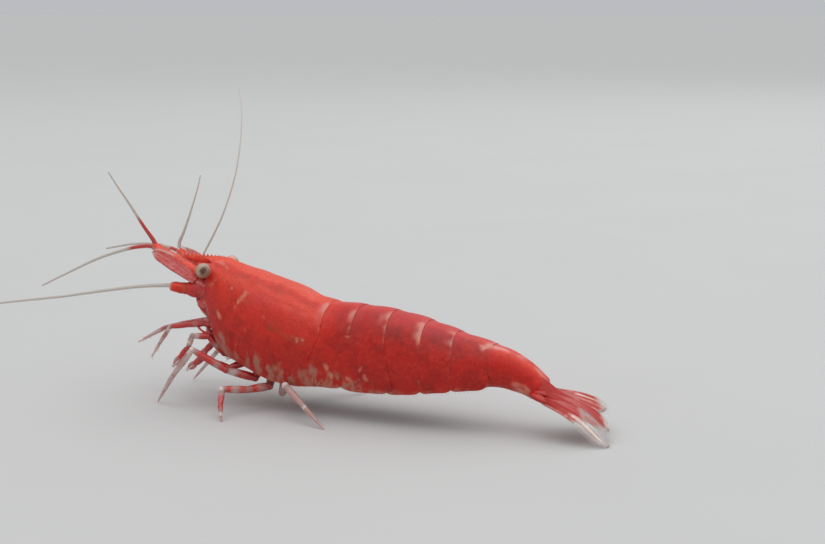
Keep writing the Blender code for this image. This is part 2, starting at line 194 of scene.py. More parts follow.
def smooth_path(points: Sequence[Vector], per_span: int) -> list[Vector]:
    """Walk a smooth curve through a few points.

    Args:
        points: The points it passes through.
        per_span: Steps from each point to the next.

    Returns:
        The points of the walk, both ends included.
    """
    ends = [2 * points[0] - points[1], *points, 2 * points[-1] - points[-2]]
    path = []
    for i in range(1, len(ends) - 2):
        a, b, c, d = ends[i - 1 : i + 3]
        for step in range(per_span):
            u = step / per_span
            bend = (2 * a - 5 * b + 4 * c - d) * u**2 + (3 * b - a - 3 * c + d) * u**3
            path.append(0.5 * (2 * b + (c - a) * u + bend))
    return [*path, points[-1].copy()]


# --------------------------------------------------------------------------- body plan


@dataclass(frozen=True)
class BodyPlan:
    """The body's curves, and the way from its millimetres to the frame's metres.

    Station 0 is the middle of the carapace's rear edge, and stations grow tailwards.
    """

    origin: Vector
    back: Profile = Profile((
        (-7.6, 7.58), (-6.2, 7.66), (-5.2, 7.44), (-3.3, 6.99), (-1.5, 6.5), (-0.3, 6.0),
        (0.6, 5.86), (1.9, 5.82), (3.7, 5.73), (5.5, 5.44), (7.3, 4.96), (9.1, 4.44),
        (10.7, 3.98), (11.5, 3.6), (12.4, 2.87)))
    margin: Profile = Profile((
        (-6.6, 4.7), (-6.1, 3.55), (-5.4, 2.9), (-4.4, 2.5), (-2.6, 1.84), (-1.2, 1.66),
        (0.7, 1.7), (3.0, 1.68), (5.3, 1.8), (7.1, 2.04), (8.8, 2.26), (9.9, 2.42)))
    half_width: Profile = Profile((
        (-7.6, 0.9), (-6.6, 1.3), (-5.0, 1.8), (-3.0, 2.08), (-1.0, 2.1), (0.6, 1.95),
        (3.0, 1.88), (5.5, 1.75), (7.3, 1.5), (9.2, 1.18), (10.8, 0.9), (12.4, 0.72)))
    tergites: tuple[float, ...] = (1.88, 1.87, 1.9, 1.6, 1.85, 3.4)
    joint_lean: tuple[float, ...] = (0.1, 0.1, 0.45, 0.4, 0.35, 0.3, -0.45)
    tail_swing: float = 0.95
    fullness: float = 0.92

    @classmethod
    def from_frame(cls) -> BodyPlan:
        """Find station 0 from the rostrum's solid, which is even on both sides.

        Returns:
            The plan.
        """
        low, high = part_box("rostrum")
        rostrum_tip = -9.57
        return cls(Vector((low.x - rostrum_tip * MM, (low.y + high.y) / 2, 0.0)))

    def place(self, x: float, y: float, z: float) -> Vector:
        """The frame's point for a body point in millimetres."""
        return self.origin + Vector((x, y, z)) * MM

    def swing(self, x: float) -> float:
        """Sideways place of the body's middle plane."""
        return self.tail_swing * soft_step(6.0, 15.5, x)

    def on_shell(self, x: float, lane: float, reach: float, lift: float = 0.0) -> Vector:
        """A point of the shell.

        Args:
            x: The station.
            lane: From -1 at the left lower edge to 1 at the right one, over the back.
            reach: How far round from the back the lanes go, in radians.
            lift: Distance outwards from the plain surface, in millimetres.

        Returns:
            The point in the row frame, in metres.
        """
        top = self.back.at(x)
        angle = lane * reach
        height = (top - self.margin.at(x)) / (1 - math.cos(reach))
        y = (self.half_width.at(x) + lift) * full_sine(angle, self.fullness)
        z = top - height * (1 - math.cos(angle)) + lift * math.cos(angle)
        return self.place(x, self.swing(x) + y, z)

    @staticmethod
    def swell(x: float, lane: float) -> float:
        """Slow unevenness of every shell, in millimetres."""
        return 0.034 * ripple(x * 0.8, lane * 4.1, 3.1)

    def joint(self, index: int, lane: float, behind: float = 0.0) -> float:
        """Station of the joint line behind plate number index, at a lane."""
        return sum(self.tergites[:index]) + self.joint_lean[index] * lane**2 + behind


# --------------------------------------------------------------------------- work bench


@dataclass(frozen=True)
class Station:
    """One cross-section of a swept form: its middle and its half sizes, in metres."""

    centre: Vector
    wide: float
    deep: float


class Bench:
    """Blender's modelling operators, as the pieces use them."""

    @staticmethod
    def select(*pieces: Piece) -> None:
        """Select these pieces and nothing else, with the first one active.

        Args:
            *pieces: The pieces, if any.
        """
        if bpy.context.mode != "OBJECT":
            bpy.ops.object.mode_set(mode="OBJECT")
        bpy.ops.object.select_all(action="DESELECT")
        for piece in pieces:
            piece.select_set(True)
        if pieces:
            bpy.context.view_layer.objects.active = pieces[0]

    @staticmethod
    def name(name: str) -> Piece:
        """Name the active piece and its mesh.

        Args:
            name: The new name.

        Returns:
            The piece.
        """
        piece = bpy.context.object
        piece.name = piece.data.name = name
        return piece

    @staticmethod
    def ball(name: str, centre: Vector, radius: float, rounds: int) -> Piece:
        """Make a ball of small triangles.

        Args:
            name: The piece's name.
            centre: Its middle, in metres.
            radius: Its radius in millimetres.
            rounds: How often its faces are halved.

        Returns:
            The ball.
        """
        Bench.select()
        bpy.ops.mesh.primitive_ico_sphere_add(
            subdivisions=rounds, radius=radius * MM, location=centre)
        bpy.ops.object.transform_apply(location=True, rotation=True, scale=True)
        return Bench.name(name)

    @staticmethod
    def sweep(name: str, stations: Sequence[Station], sides: int) -> tuple[Piece, list[int]]:
        """Draw a closed form out of a disc, one extrusion for each station.

        Args:
            name: The piece's name.
            stations: Its cross-sections from root to tip.
            sides: Corners of each cross-section.

        Returns:
            The new mesh object, and the number of each vertex's cross-section.
        """
        Bench.select()
        heading = (stations[1].centre - stations[0].centre).normalized()
        axes = heading.to_track_quat("Z", "Y").to_matrix()
        first = stations[0]
        bpy.ops.mesh.primitive_circle_add(
            vertices=sides, radius=first.wide, fill_type="NGON",
            location=first.centre, rotation=axes.to_euler())
        piece = Bench.name(name)
        bpy.ops.object.transform_apply(location=True, rotation=True, scale=True)
        bpy.ops.object.mode_set(mode="EDIT")
        bpy.ops.mesh.select_all(action="SELECT")
        Bench._resize((1.0, first.deep / first.wide, 1.0), axes, first.centre)
        for before, here, after in zip(stations, stations[1:], [*stations[2:], None]):
            step = here.centre - before.centre
            bpy.ops.mesh.extrude_region_move(TRANSFORM_OT_translate={"value": step})
            ahead = here.centre if after is None else after.centre
            turned = (ahead - before.centre).normalized()
            axes = Bench._turn(axes, heading, turned, here.centre)
            heading = turned
            ratio = (here.wide / before.wide, here.deep / before.deep, 1.0)
            Bench._resize(ratio, axes, here.centre)
        bpy.ops.mesh.select_all(action="SELECT")
        bpy.ops.mesh.normals_make_consistent(inside=False)
        bpy.ops.object.mode_set(mode="OBJECT")
        return piece, [vertex.index // sides for vertex in piece.data.vertices]

    @staticmethod
    def _resize(ratio: Point, axes: Matrix, centre: Vector) -> None:
        """Scale the selection along its own axes about a centre.

        Args:
            ratio: The new size along each axis, as a part of the old.
            axes: The selection's axes.
            centre: The point that stays, in metres.
        """
        bpy.ops.transform.resize(
            value=ratio, orient_type="GLOBAL", orient_matrix=axes,
            orient_matrix_type="GLOBAL", center_override=centre)

    @staticmethod
    def _turn(axes: Matrix, old: Vector, new: Vector, centre: Vector) -> Matrix:
        """Turn the selection from one heading to the next.

        Args:
            axes: The selection's axes.
            old: The heading it has.
            new: The heading it gets.
            centre: The point it turns about.

        Returns:
            Its turned axes.
        """
        pivot = old.cross(new)
        if pivot.length < 1e-7:
            return axes
        angle = old.angle(new)
        pivot.normalize()
        hinge = pivot.to_track_quat("Z", "Y").to_matrix()
        bpy.ops.transform.rotate(
            value=angle, orient_axis="Z", orient_type="GLOBAL", orient_matrix=hinge,
            orient_matrix_type="GLOBAL", constraint_axis=(False, False, True),
            center_override=centre)
        return Matrix.Rotation(angle, 3, pivot) @ axes

    @staticmethod
    def sheet(name: str, cells: tuple[int, int],
              place: Callable[[float, float], Vector]) -> tuple[Piece, list[tuple[float, float]]]:
        """Lay a grid over a surface.

        Args:
            name: The piece's name.
            cells: Number of cells along it and across it.
            place: Gives the point for (u, v), each from 0 to 1.

        Returns:
            The new mesh object, and (u, v) of each of its vertices.
        """
        Bench.select()
        bpy.ops.mesh.primitive_grid_add(
            x_subdivisions=cells[0], y_subdivisions=cells[1], size=1.0, calc_uvs=True)
        piece = Bench.name(name)
        ways = [(vertex.co.x + 0.5, vertex.co.y + 0.5) for vertex in piece.data.vertices]
        for vertex, way in zip(piece.data.vertices, ways):
            vertex.co = place(*way)
        return piece, ways

    @staticmethod
    def paint(piece: Piece, **masks: float | Sequence[float]) -> None:
        """Give a piece painted masks.

        Args:
            piece: The piece.
            **masks: The masks by name, each one value, or one for each vertex.
        """
        count = len(piece.data.vertices)
        for name, values in masks.items():
            painted = piece.data.attributes.new(name, "FLOAT", "POINT")
            painted.data.foreach_set("value", [values] * count if isinstance(values, float) else values)

    @staticmethod
    def _modify(piece: Piece, kind: str, **settings: float) -> None:
        """Add a modifier with its settings, and apply it.

        Args:
            piece: The piece.
            kind: The modifier's type.
            **settings: Its settings.
        """
        Bench.select(piece)
        modifier = piece.modifiers.new(kind.lower(), kind)
        for name, value in settings.items():
            setattr(modifier, name, value)
        bpy.ops.object.modifier_apply(modifier=modifier.name)

    @staticmethod
    def thicken(piece: Piece, wall: float, offset: float) -> None:
        """Give a sheet its wall, in millimetres."""
        Bench._modify(piece, "SOLIDIFY", thickness=wall * MM, offset=offset)

    @staticmethod
    def refine(piece: Piece, levels: int = 1) -> None:
        """Round a piece by subdivision."""
        Bench._modify(piece, "SUBSURF", levels=levels, render_levels=levels)

    @staticmethod
    def seal(piece: Piece, distance: float = 1e-6) -> None:
        """Merge the points of a seam and turn every face outwards.

        Args:
            piece: The piece.
            distance: Points nearer than this are merged, in metres.
        """
        Bench.select(piece)
        bpy.ops.object.mode_set(mode="EDIT")
        bpy.ops.mesh.select_all(action="SELECT")
        bpy.ops.mesh.remove_doubles(threshold=distance)
        bpy.ops.mesh.normals_make_consistent(inside=False)
        bpy.ops.object.mode_set(mode="OBJECT")

    @staticmethod
    def join(pieces: Sequence[Piece], name: str) -> Piece:
        """Make several meshes one piece.

        Args:
            pieces: The meshes.
            name: The whole's name.

        Returns:
            The whole.
        """
        Bench.select(*pieces)
        if len(pieces) > 1:
            bpy.ops.object.join()
        return Bench.name(name)

    @staticmethod
    def hand_over(piece: Piece, material: bpy.types.Material, slot: Slot,
                  nodes: Sequence[str] = (), crease: float = 50.0) -> None:
        """Shade and dress a finished piece, hang it on the body, and hide the solids that it stands for.

        Args:
            piece: The finished piece.
            material: Its finish.
            slot: Not used.
            nodes: The solids that it stands for.
            crease: Edges sharper than this many degrees stay crisp.
        """
        for vertex in piece.data.vertices:
            vertex.co.z = max(vertex.co.z, FLOOR_GAP)
        Bench.select(piece)
        bpy.ops.object.shade_smooth_by_angle(angle=math.radians(crease))
        piece.data.materials.clear()
        piece.data.materials.append(material)
        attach(piece, BODY)
        if nodes:
            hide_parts(*nodes)
        LOG.info("%s: %d faces", piece.name, len(piece.data.polygons))


# --------------------------------------------------------------------------- finishes


class Wiring:
    """A node tree under construction, with short ways to lay its nodes."""

    def __init__(self, tree: bpy.types.NodeTree) -> None:
        """Take the tree that the nodes go into."""
        self.tree = tree

    def node(self, kind: str, **values: object) -> bpy.types.Node:
        """Add a shader node and set its properties.

        Args:
            kind: The node's type, without its usual beginning.
            **values: Its properties.

        Returns:
            The node.
        """
        added = self.tree.nodes.new(f"ShaderNode{kind}")
        for name, value in values.items():
            setattr(added, name, value)
        return added

    def link(self, source: object, target: Socket) -> None:
        """Join two sockets, or set a plain value on the second.

        Args:
            source: A socket, a colour or a number.
            target: The socket that takes it.
        """
        if isinstance(source, Socket):
            self.tree.links.new(source, target)
        elif isinstance(source, tuple):
            target.default_value = (*source, 1.0)
        else:
            target.default_value = source

    def maths(self, way: str, *terms: object, clamp: bool = True) -> Socket:
        """Combine numbers.

        Args:
            way: The Math node's operation.
            *terms: Its numbers or sockets.
            clamp: Whether the result is held between 0 and 1.

        Returns:
            The result's socket.
        """
        sums = self.node("Math", operation=way, use_clamp=clamp)
        for term, socket in zip(terms, sums.inputs):
            self.link(term, socket)
        return sums.outputs[0]

    def spread(self, value: object, low: object, high: object, to_low: float = 0.0,
               to_high: float = 1.0) -> Socket:
        """Stretch a number's range, with soft ends.

        Args:
            value: The number.
            low: Where its range begins.
            high: Where its range ends.
            to_low: What low becomes.
            to_high: What high becomes.

        Returns:
            The result's socket.
        """
        ramp = self.node("MapRange", interpolation_type="SMOOTHSTEP")
        for setting, socket in zip((value, low, high, to_low, to_high), ramp.inputs):
            self.link(setting, socket)
        return ramp.outputs["Result"]

    def texture(self, kind: str, output: str, scale: object, **settings: float) -> Socket:
        """Place a texture on the piece's own coordinates.

        Args:
            kind: The texture's type.
            output: The output to read.
            scale: Its scale.
            **settings: Its other inputs.

        Returns:
            The output's socket.
        """
        pattern = self.node(kind)
        self.link(self.node("TexCoord").outputs["Object"], pattern.inputs["Vector"])
        self.link(scale, pattern.inputs["Scale"])
        for name, value in settings.items():
            self.link(value, pattern.inputs[name])
        return pattern.outputs[output]


class Effect(Wiring):
    """A node group that takes numbers and puts out one mask."""

    def __init__(self, name: str, **numbers: float) -> None:
        """Begin the group.

        Args:
            name: The group's name.
            **numbers: Its inputs and their usual values.
        """
        super().__init__(bpy.data.node_groups.new(name, "ShaderNodeTree"))
        sockets = self.tree.interface
        for label, value in numbers.items():
            made = sockets.new_socket(name=label, in_out="INPUT", socket_type="NodeSocketFloat")
            made.default_value = value
        sockets.new_socket(name="Mask", in_out="OUTPUT", socket_type="NodeSocketFloat")
        self.given = self.tree.nodes.new("NodeGroupInput").outputs

    def finish(self, mask: Socket) -> bpy.types.NodeTree:
        """Put the mask out and give the group."""
        self.link(mask, self.tree.nodes.new("NodeGroupOutput").inputs["Mask"])
        return self.tree


class SharedEffects:
    """The node groups that several finishes use, each built once."""

    def __init__(self) -> None:
        """Build every group."""
        self.clouds = self._clouds()
        self.grains = self._grains()
        self.ragged = self._ragged()
        self.skin_grain = self._skin_grain()

    @staticmethod
    def _clouds() -> bpy.types.NodeTree:
        """Soft drifts of pigment.

        Returns:
            The group.
        """
        group = Effect("pigment_clouds", Scale=900.0, Low=0.4, High=0.65)
        drift = group.texture("TexNoise", "Fac", group.given["Scale"], Detail=3.0, Distortion=0.5)
        return group.finish(group.spread(drift, group.given["Low"], group.given["High"]))

    @staticmethod
    def _grains() -> bpy.types.NodeTree:
        """Fine separate grains of pigment.

        Returns:
            The group.
        """
        group = Effect("pigment_grains", Scale=9000.0, Size=0.4)
        cells = group.texture("TexVoronoi", "Distance", group.given["Scale"])
        return group.finish(group.spread(cells, group.given["Size"], 0.0))

    @staticmethod
    def _ragged() -> bpy.types.NodeTree:
        """A painted mask with its edge broken up by noise.

        Returns:
            The group.
        """
        group = Effect("ragged_mask", Paint=0.0, Scale=3500.0, Roughen=0.6)
        drift = group.texture("TexNoise", "Fac", group.given["Scale"], Detail=4.0, Distortion=0.3)
        shift = group.maths("SUBTRACT", drift, 0.5, clamp=False)
        weighed = group.maths("MULTIPLY", shift, group.given["Roughen"], clamp=False)
        paint = group.maths("ADD", group.given["Paint"], weighed, clamp=False)
        return group.finish(group.spread(paint, 0.12, 0.95))

    @staticmethod
    def _skin_grain() -> bpy.types.NodeTree:
        """Height of the shell's fine pits and its slow unevenness.

        Returns:
            The group.
        """
        group = Effect("shell_grain", Scale=6000.0, Pits=0.35)
        slow = group.texture("TexNoise", "Fac", group.given["Scale"], Detail=5.0, Distortion=0.2)
        finer = group.maths("MULTIPLY", group.given["Scale"], 2.3, clamp=False)
        pits = group.texture("TexVoronoi", "Distance", finer)
        mix = group.node("Mix")
        for term, socket in ((group.given["Pits"], "Factor"), (slow, 2), (pits, 3)):
            group.link(term, mix.inputs[socket])
        return group.finish(mix.outputs[0])


class Shop(Wiring):
    """A material under construction: colours laid over one another, then gloss and relief."""

    def __init__(self, name: str, effects: SharedEffects, ground: Colour) -> None:
        """Start a material.

        Args:
            name: The material's name.
            effects: The shared effects.
            ground: Its lowest colour.
        """
        self.material = bpy.data.materials.new(name)
        self.material.use_nodes = True
        super().__init__(self.material.node_tree)
        self.shader = self.tree.nodes["Principled BSDF"]
        self.effects = effects
        self.colour: object = ground

    def mask(self, name: str) -> Socket:
        """Read one of the piece's painted masks."""
        return self.node("Attribute", attribute_name=name).outputs["Fac"]

    def over(self, colour: Colour, mask: object, amount: float = 1.0) -> None:
        """Lay a colour over the rest where a mask says so.

        Args:
            colour: The colour.
            mask: Where it lies.
            amount: How strong it gets.
        """
        mix = self.node("Mix", data_type="RGBA")
        part = mask if amount == 1.0 else self.maths("MULTIPLY", mask, amount)
        for source, socket in ((part, "Factor"), (self.colour, 6), (colour, 7)):
            self.link(source, mix.inputs[socket])
        self.colour = mix.outputs[2]

    def group(self, tree: bpy.types.NodeTree, **values: object) -> Socket:
        """Place a shared effect and give its mask.

        Args:
            tree: The effect.
            **values: Its inputs.

        Returns:
            The mask's socket.
        """
        placed = self.node("Group", node_tree=tree)
        for name, value in values.items():
            self.link(value, placed.inputs[name])
        return placed.outputs[0]

    def clouds(self, scale: float, low: float, high: float) -> Socket:
        """Soft drifts of pigment."""
        return self.group(self.effects.clouds, Scale=scale, Low=low, High=high)

    def grains(self, scale: float, size: float) -> Socket:
        """Fine separate grains of pigment."""
        return self.group(self.effects.grains, Scale=scale, Size=size)

    def ragged(self, name: str, scale: float, roughen: float) -> Socket:
        """A painted mask with a ragged edge."""
        return self.group(self.effects.ragged, Paint=self.mask(name), Scale=scale, Roughen=roughen)

    def pitted(self, scale: float, pits: float) -> Socket:
        """The height of a finely pitted surface."""
        return self.group(self.effects.skin_grain, Scale=scale, Pits=pits)

    def relief(self, height: Socket, depth: float, strength: float) -> None:
        """Bump the surface.

        Args:
            height: The height, from 0 to 1.
            depth: How deep that is, in metres.
            strength: How much of it shows.
        """
        bump = self.node("Bump")
        for source, socket in ((depth, "Distance"), (strength, "Strength"), (height, "Height")):
            self.link(source, bump.inputs[socket])
        self.link(bump.outputs["Normal"], self.shader.inputs["Normal"])

    def vary(self, socket: str, value: Socket, to_low: float, to_high: float,
             low: float = 0.0, high: float = 1.0) -> None:
        """Let one of the shader's numbers follow a mask.

        Args:
            socket: The shader's socket.
            value: The mask.
            to_low: The number where the mask is low.
            to_high: The number where the mask is high.
            low: The mask's low value.
            high: The mask's high value.
        """
        self.link(self.spread(value, low, high, to_low, to_high), self.shader.inputs[socket])

    def plain(self, **values: float) -> None:
        """Set shader sockets that are the same all over, by their names with _ for spaces."""
        for name, value in values.items():
            self.shader.inputs[name.replace("_", " ")].default_value = value

    def flesh_glow(self, weight: float, depth: float) -> None:
        """Let light soak into the surface, red the deepest."""
        self.plain(Subsurface_Weight=weight, Subsurface_Scale=depth)
        self.shader.inputs["Subsurface Radius"].default_value = (1.0, 0.28, 0.18)


@dataclass(frozen=True)
class Finish(ABC):
    """One of the animal's materials: its ground colour, and what lies over it."""

    ground: Colour

    def material(self, name: str, effects: SharedEffects) -> bpy.types.Material:
        """Build the finish.

        Args:
            name: The material's name.
            effects: The shared effects.

        Returns:
            The material.
        """
        shop = Shop(name, effects, self.ground)
        self._dress(shop)
        shop.link(shop.colour, shop.shader.inputs["Base Color"])
        return shop.material

    @abstractmethod
    def _dress(self, shop: Shop) -> None:
        """Lay the finish over its ground."""


@dataclass(frozen=True)
class ShellFinish(Finish):
    """Red pigment under a glossy, slightly see-through shell."""

    ground: Colour = (0.62, 0.013, 0.004)
    # back is the salmon of the painted highlight along the back; deep is the darker red of painted shade
    # low on the flanks, and of the abdomen's deeper pigment and its drifts.
    back: Colour = (0.86, 0.09, 0.044)
    deep: Colour = (0.27, 0.006, 0.004)
    violet: Colour = (0.53, 0.04, 0.062)
    pale: Colour = (0.68, 0.25, 0.16)
    veil: Colour = (0.74, 0.30, 0.24)
    brown: Colour = (0.27, 0.06, 0.02)
    clear: Colour = (0.42, 0.19, 0.13)

    def _dress(self, shop: Shop) -> None:
        """Lay the pigments, the painted highlight along the back and the painted shade over each other,
        then the bloom, the organs and the bare places.

        Args:
            shop: The material under construction.
        """
        drifts = shop.clouds(1100.0, 0.42, 0.66)
        small = shop.clouds(4200.0, 0.45, 0.7)
        # Darker red in drifts and where the mask says, which holds painted shade low on the flanks as well
        # as the abdomen's deeper red.
        shop.over(self.deep, shop.maths("MULTIPLY_ADD", drifts, 0.42, shop.mask("deep")), 0.85)
        # Painted highlight in salmon along the back.
        shop.over(self.back, shop.mask("dorsal"))
        shop.over(self.violet, shop.mask("violet"), 0.8)
        shop.over(self.back, small, 0.16)
        shop.over(self.deep, shop.clouds(7600.0, 0.5, 0.68), 0.26)
        shop.over(self.deep, shop.grains(15000.0, 0.42), 0.15)
        shop.over(self.veil, shop.ragged("veil", 2600.0, 0.35), 0.75)
        shop.over(self.brown, shop.ragged("brown", 3400.0, 0.9), 0.75)
        shop.over(self.clear, shop.ragged("clear", 3400.0, 0.9), 0.8)
        shop.over(self.pale, shop.ragged("pale", 3400.0, 0.9), 0.8)
        shop.vary("Roughness", small, 0.4, 0.54)
        shop.relief(shop.pitted(5200.0, 0.3), 0.00003, 0.8)
        shop.plain(Coat_Weight=0.1, Coat_Roughness=0.22, Specular_IOR_Level=0.28)
        shop.flesh_glow(0.3, 0.00035)


@dataclass(frozen=True)
class LimbFinish(Finish):
    """Glassy grey limb with bands of red pigment and white joints."""

    ground: Colour = (0.55, 0.34, 0.30)
    red: Colour = (0.52, 0.022, 0.018)
    white: Colour = (0.80, 0.60, 0.55)
    see_through: float = 0.55

    def _dress(self, shop: Shop) -> None:
        """Lay the joints' white, the grains and the bands over the glass.

        Args:
            shop: The material under construction.
        """
        red = shop.ragged("red", 4200.0, 0.8)
        white = shop.ragged("pale", 5200.0, 0.5)
        grains = shop.grains(11000.0, 0.35)
        shop.over(self.white, white, 0.85)
        shop.over(self.red, grains, 0.35)
        shop.over(self.red, red)
        shop.vary("Alpha", shop.maths("MAXIMUM", red, white), self.see_through, 1.0)
        shop.vary("Roughness", grains, 0.26, 0.4)
        shop.relief(shop.pitted(9000.0, 0.3), 0.000015, 0.7)
        shop.plain(Coat_Weight=0.4, Coat_Roughness=0.12)
        shop.flesh_glow(0.35, 0.00025)


@dataclass(frozen=True)
class FanFinish(Finish):
    """Thin blade: red near its root, glassy and whitish at its rim."""

    ground: Colour = (0.74, 0.66, 0.62)
    red: Colour = (0.44, 0.014, 0.008)
    white: Colour = (0.85, 0.70, 0.58)
    see_through: float = 0.26

    def _dress(self, shop: Shop) -> None:
        """Lay the grains, the red and the white streaks over the glass.

        Args:
            shop: The material under construction.
        """
        red = shop.ragged("red", 3600.0, 0.7)
        white = shop.ragged("pale", 4800.0, 0.6)
        grains = shop.grains(9500.0, 0.4)
        shop.over(self.red, grains, 0.3)
        shop.over(self.red, red)
        shop.over(self.white, white, 0.85)
        dense = shop.maths("MAXIMUM", shop.maths("MAXIMUM", red, white),
                           shop.maths("MULTIPLY", shop.mask("rib"), 0.8))
        shop.vary("Alpha", dense, self.see_through, 1.0, 0.0, 0.9)
        shop.vary("Roughness", grains, 0.28, 0.42)
        shop.relief(shop.pitted(8000.0, 0.25), 0.000015, 0.7)
        shop.plain(Coat_Weight=0.15, Coat_Roughness=0.2, Specular_IOR_Level=0.35)
        shop.flesh_glow(0.2, 0.0002)


@dataclass(frozen=True)
class FeelerFinish(Finish):
    """Ringed lash, red where its pigment reaches and whitish glass beyond."""

    ground: Colour = (0.66, 0.62, 0.55)
    ring: Colour = (0.40, 0.35, 0.29)
    red: Colour = (0.50, 0.04, 0.03)
    see_through: float = 0.75

    def _dress(self, shop: Shop) -> None:
        """Lay the rings and the red over the glass.

        Args:
            shop: The material under construction.
        """
        red = shop.ragged("red", 4500.0, 0.4)
        shop.over(self.ring, shop.mask("ring"))
        shop.over(self.red, red)
        shop.vary("Alpha", red, self.see_through, 1.0)
        grain = shop.pitted(12000.0, 0.2)
        shop.vary("Roughness", grain, 0.3, 0.45, 0.2, 0.8)
        shop.relief(grain, 0.00001, 0.6)
        shop.plain(Coat_Weight=0.2, Coat_Roughness=0.2)
        shop.flesh_glow(0.2, 0.0002)


@dataclass(frozen=True)
class EyeFinish(Finish):
    """Faceted cornea: grey beige, with a dark false pupil, a pale rim and painted shade at its lower rear.
    """

    ground: Colour = (0.45, 0.32, 0.235)
    pupil: Colour = (0.10, 0.034, 0.02)
    shade: Colour = (0.24, 0.11, 0.075)
    rim: Colour = (0.72, 0.34, 0.26)
    facets: float = 26000.0

    def _dress(self, shop: Shop) -> None:
        """Lay the mottling, the rim, the painted shade and the false pupil over the cornea.

        Args:
            shop: The material under construction.
        """
        mottle = shop.clouds(5200.0, 0.42, 0.62)
        shop.over(self.pupil, mottle, 0.3)
        shop.over(self.rim, shop.mask("rim"))
        # Painted shade: brownish dark towards the ball's lower rear.
        shop.over(self.shade, shop.mask("shade"), 0.7)
        shop.over(self.pupil, shop.mask("pupil"), 0.95)
        shop.vary("Roughness", mottle, 0.12, 0.22)
        shop.relief(shop.grains(self.facets, 0.55), 0.000008, 0.5)
        shop.plain(Coat_Weight=0.3, Coat_Roughness=0.06, Specular_IOR_Level=0.35)
        shop.flesh_glow(0.08, 0.00008)


@dataclass(frozen=True)
class FleshFinish(Finish):
    """Soft pink skin between the shells, with drifts of red."""

    ground: Colour = (0.55, 0.15, 0.115)
    red: Colour = (0.50, 0.022, 0.018)
    violet: Colour = (0.66, 0.115, 0.125)
    pale: Colour = (0.72, 0.36, 0.28)

    def _dress(self, shop: Shop) -> None:
        """Lay the red, the violet and the pale flecks over the skin.

        Args:
            shop: The material under construction.
        """
        flecks = shop.clouds(5200.0, 0.52, 0.66)
        shop.over(self.red, shop.clouds(1900.0, 0.38, 0.56))
        shop.over(self.violet, shop.mask("violet"))
        shop.over(self.pale, flecks, 0.16)
        shop.over(self.pale, shop.ragged("pale", 4200.0, 0.9), 0.7)
        shop.vary("Roughness", flecks, 0.36, 0.5)
        shop.relief(shop.pitted(4200.0, 0.45), 0.00004, 0.9)
        shop.plain(Coat_Weight=0.25, Coat_Roughness=0.2)
        shop.flesh_glow(0.4, 0.0004)


@dataclass(frozen=True)
class BristleFinish(Finish):
    """Glassy hair, paler to its tip."""

    ground: Colour = (0.52, 0.2, 0.16)
    hair: Colour = (0.78, 0.70, 0.62)
    see_through: float = 0.35

    def _dress(self, shop: Shop) -> None:
        """Lay the hair's pale length and its flecks over its root.

        Args:
            shop: The material under construction.
        """
        flecks = shop.clouds(7000.0, 0.35, 0.7)
        tip = shop.mask("tip")
        shop.over(self.hair, shop.spread(tip, 0.0, 0.35))
        shop.over(self.ground, flecks, 0.15)
        shop.vary("Alpha", tip, 0.7, self.see_through, 0.1, 1.0)
        shop.vary("Roughness", flecks, 0.3, 0.45)


@dataclass(frozen=True)
class FloorFinish(Finish):
    """Plain pale floor with a barely seen grain."""

    ground: Colour = (0.56, 0.56, 0.545)
    drift: float = 0.985

    def _dress(self, shop: Shop) -> None:
        """Lay slightly darker drifts over the floor.

        Args:
            shop: The material under construction.
        """
        darker = tuple(self.drift * part for part in self.ground)
        shop.over(darker, shop.clouds(60.0, 0.3, 0.7))
        shop.plain(Roughness=0.75, Specular_IOR_Level=0.2)


class Finishes:
    """Every finish of the animal, each made once."""

    def __init__(self) -> None:
        """Build the shared effects and the materials."""
        effects = SharedEffects()
        self.shell = ShellFinish().material("shell_red", effects)
        self.limb = LimbFinish().material("limb_banded", effects)
        self.fan = FanFinish().material("fan_glassy", effects)
        self.feeler = FeelerFinish().material("feeler_ringed", effects)
        self.eye = EyeFinish().material("eye_cornea", effects)
        self.flesh = FleshFinish().material("flesh_pink", effects)
        self.bristle = BristleFinish().material("bristle_glass", effects)
        self.floor = FloorFinish().material("floor_pale", effects)


@dataclass
class Assembly(ABC):
    """Something built on the body's plan and dressed in the animal's finishes."""

    body: BodyPlan
    finishes: Finishes

    @abstractmethod
    def build(self) -> None:
        """Build and dress its pieces."""

    def path(self, points: Iterable[Point], mirror: int = 1) -> list[Vector]:
        """The frame's points for body points, mirrored by the sign of a side."""
        return [self.body.place(x, y * mirror, z) for x, y, z in points]


# --------------------------------------------------------------------------- markings


@dataclass(frozen=True)
class ShellPoint:
    """A place on a plate: its station, its lane, and how far in front of the rear edge it is.

    The border is how pale that plate's rear edge gets.
    """

    x: float
    lane: float
    to_rear: float
    border: float

    @property
    def side(self) -> float:
        """The lane, counted alike on both sides."""
        return abs(self.lane)


@dataclass(frozen=True)
class Spot:
    """A soft mark on the shell: its station, its lane and half its length and height."""

    x: float
    lane: float
    long: float
    tall: float
    strength: float = 1.0

    def at(self, x: float, lane: float) -> float:
        """Strength of the mark at a place of the shell."""
        return self.strength * hump(self.x, self.long, x) * hump(self.lane, self.tall, lane)


def stroke(start: tuple[float, float], end: tuple[float, float], wide: float,
           strength: float, count: int = 5) -> tuple[Spot, ...]:
    """A line of spots from one (station, lane) to another.

    Args:
        start: Where it begins.
        end: Where it ends.
        wide: Half the line's width, in millimetres.
        strength: How strong each spot is.
        count: Number of spots.

    Returns:
        The spots.
    """
    spots = []
    for k in range(count):
        part = k / (count - 1)
        spots.append(Spot(blend(start[0], end[0], part), blend(start[1], end[1], part),
                          wide, wide * Markings.LANE_PER_MM, strength))
    return tuple(spots)


